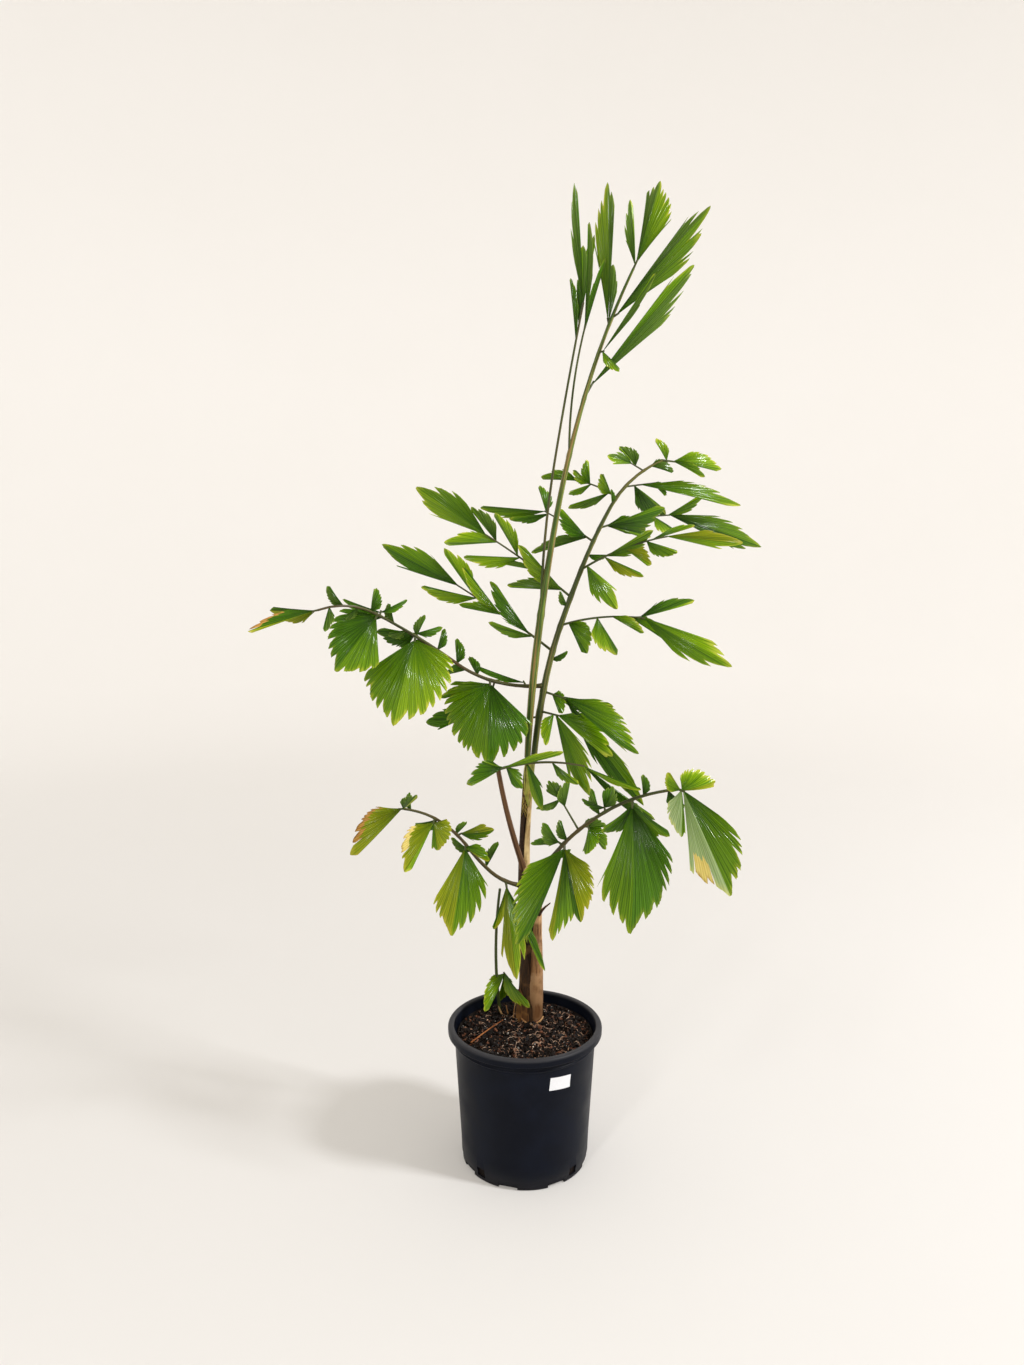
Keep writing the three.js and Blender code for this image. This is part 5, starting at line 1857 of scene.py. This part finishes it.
def spaced(ends: Sequence[Sequence[float]], count: int) -> np.ndarray:
    """Evenly spaced points, one row each, on the line through a few."""
    ends = np.array(ends, float)
    marks = np.linspace(0, 1, len(ends))
    return np.column_stack([np.interp(np.linspace(0, 1, count), marks, ends[:, k]) for k in range(3)])


def tube_along(
    points: np.ndarray, radii: np.ndarray, sides: int
) -> tuple[np.ndarray, list[list[int]], np.ndarray]:
    """Closed tube along a list of points.

    Args:
        points: Centre line, one row each.
        radii: A radius for each point.
        sides: Corners round the tube.

    Returns:
        Points, faces and pattern coordinates.
    """
    angles = np.linspace(0, 2 * np.pi, sides, endpoint=False)
    along = np.gradient(points, axis=0)
    rows, uv = [], []
    for point, radius, step in zip(points, radii, along):
        step = unit(step)
        side = unit(np.cross(step, (0.01, 0.02, 1) if abs(step[2]) < 0.9 else (1, 0, 0.01)))
        front = np.cross(step, side)
        rows.append(point + radius * (np.outer(np.cos(angles), side) + np.outer(np.sin(angles), front)))
        uv.append(np.column_stack([angles * radius, np.full(sides, float(len(rows)))]))
    return np.vstack(rows), tube_faces(sides, len(points) - 1), np.vstack(uv)


@dataclass
class Studio:
    """Seamless pale sweep, soft light from the right front, and the camera."""

    floor_radius: float = 3.2
    wall_radius: float = 5.2
    wall_height: float = 6.5
    camera_place: tuple[float, float, float] = (-0.021, -1.518, 0.988)
    camera_pitch: float = 7.6
    lens: float = 26.0

    def build(self) -> None:
        """Builds the sweep, the lights, the world and the camera."""
        self.sweep()
        self.light("key_softbox", (3.8, -1.55, 3.6), (0.7, 0.9), 200, (0.98, 0.98, 1.0))
        self.light("front_strip_softbox", (-1.1, -2.3, 2.0), (0.2, 1.3), 17, (1.0, 0.98, 0.95))
        self.light("top_softbox", (0.0, 0.4, 3.8), (2.6, 2.6), 12, (1.0, 0.98, 0.94))
        world = bpy.data.worlds.new("studio_fill")
        world.use_nodes = True
        world.node_tree.nodes["Background"].inputs["Color"].default_value = linear("#fff2de")
        world.node_tree.nodes["Background"].inputs["Strength"].default_value = 0.4
        scene = bpy.context.scene
        scene.world = world
        scene.view_settings.view_transform = "Standard"
        data = bpy.data.cameras.new("photo_camera")
        data.lens = self.lens
        data.sensor_width = 36
        data.sensor_fit = "AUTO"
        camera = bpy.data.objects.new("photo_camera", data)
        camera.location = self.camera_place
        camera.rotation_euler = (math.radians(90 - self.camera_pitch), 0, 0)
        scene.collection.objects.link(camera)
        scene.camera = camera

    def light(self, name: str, place: tuple, size: tuple[float, float], power: float, colour: tuple) -> None:
        """Adds a softbox that looks at the plant.

        Args:
            name: Its name.
            place: Its place in metres.
            size: Its width and height in metres.
            power: Its power in watts.
            colour: Its colour.
        """
        data = bpy.data.lights.new(name, "AREA")
        data.shape = "RECTANGLE"
        data.size, data.size_y = size
        data.energy = power
        data.color = colour
        lamp = bpy.data.objects.new(name, data)
        lamp.location = place
        lamp.rotation_euler = (Vector((0, 0, 0.7)) - Vector(place)).to_track_quat("-Z", "Y").to_euler()
        bpy.context.scene.collection.objects.link(lamp)

    def sweep(self) -> None:
        """Builds the floor that curves up into a round wall."""
        deselect()
        bpy.ops.mesh.primitive_circle_add(vertices=96, radius=self.floor_radius, fill_type="NGON")
        sweep = bpy.context.object
        sweep.name = "studio_sweep"
        bpy.ops.object.mode_set(mode="EDIT")
        bpy.ops.mesh.select_all(action="SELECT")
        bpy.ops.mesh.delete(type="ONLY_FACE")
        bpy.ops.mesh.select_all(action="SELECT")
        bpy.ops.mesh.edge_face_add()
        bend = self.wall_radius - self.floor_radius
        turns = np.radians(np.linspace(0, 90, 13))
        rings = [(self.floor_radius + bend * math.sin(a), bend * (1 - math.cos(a))) for a in turns]
        rings.append((self.wall_radius, self.wall_height))
        bpy.ops.mesh.select_mode(type="EDGE")
        bpy.ops.mesh.select_all(action="SELECT")
        for (radius, low), (wider, high) in zip(rings, rings[1:]):
            bpy.ops.mesh.extrude_edges_move(TRANSFORM_OT_translate={"value": (0, 0, high - low)})
            factor = wider / radius
            bpy.ops.transform.resize(value=(factor, factor, 1), center_override=(0, 0, high))
        bpy.ops.object.mode_set(mode="OBJECT")
        bpy.ops.object.shade_smooth()
        sweep.data.materials.append(BackdropFinish("matte_painted_sweep", 0.9).build())


def main() -> None:
    """Builds the studio and the plant, piece by piece."""
    logging.basicConfig(level=logging.INFO, format="%(name)s %(message)s")
    Studio().build()
    Pot().build()
    Soil().build()
    limbs: dict[str, Limb] = {}
    Trunk().build(limbs)
    materials = {tone: tone.value.build() for tone in Tone}
    for frond in FRONDS:
        frond.build(limbs, materials)


if __name__ == "__main__":
    main()
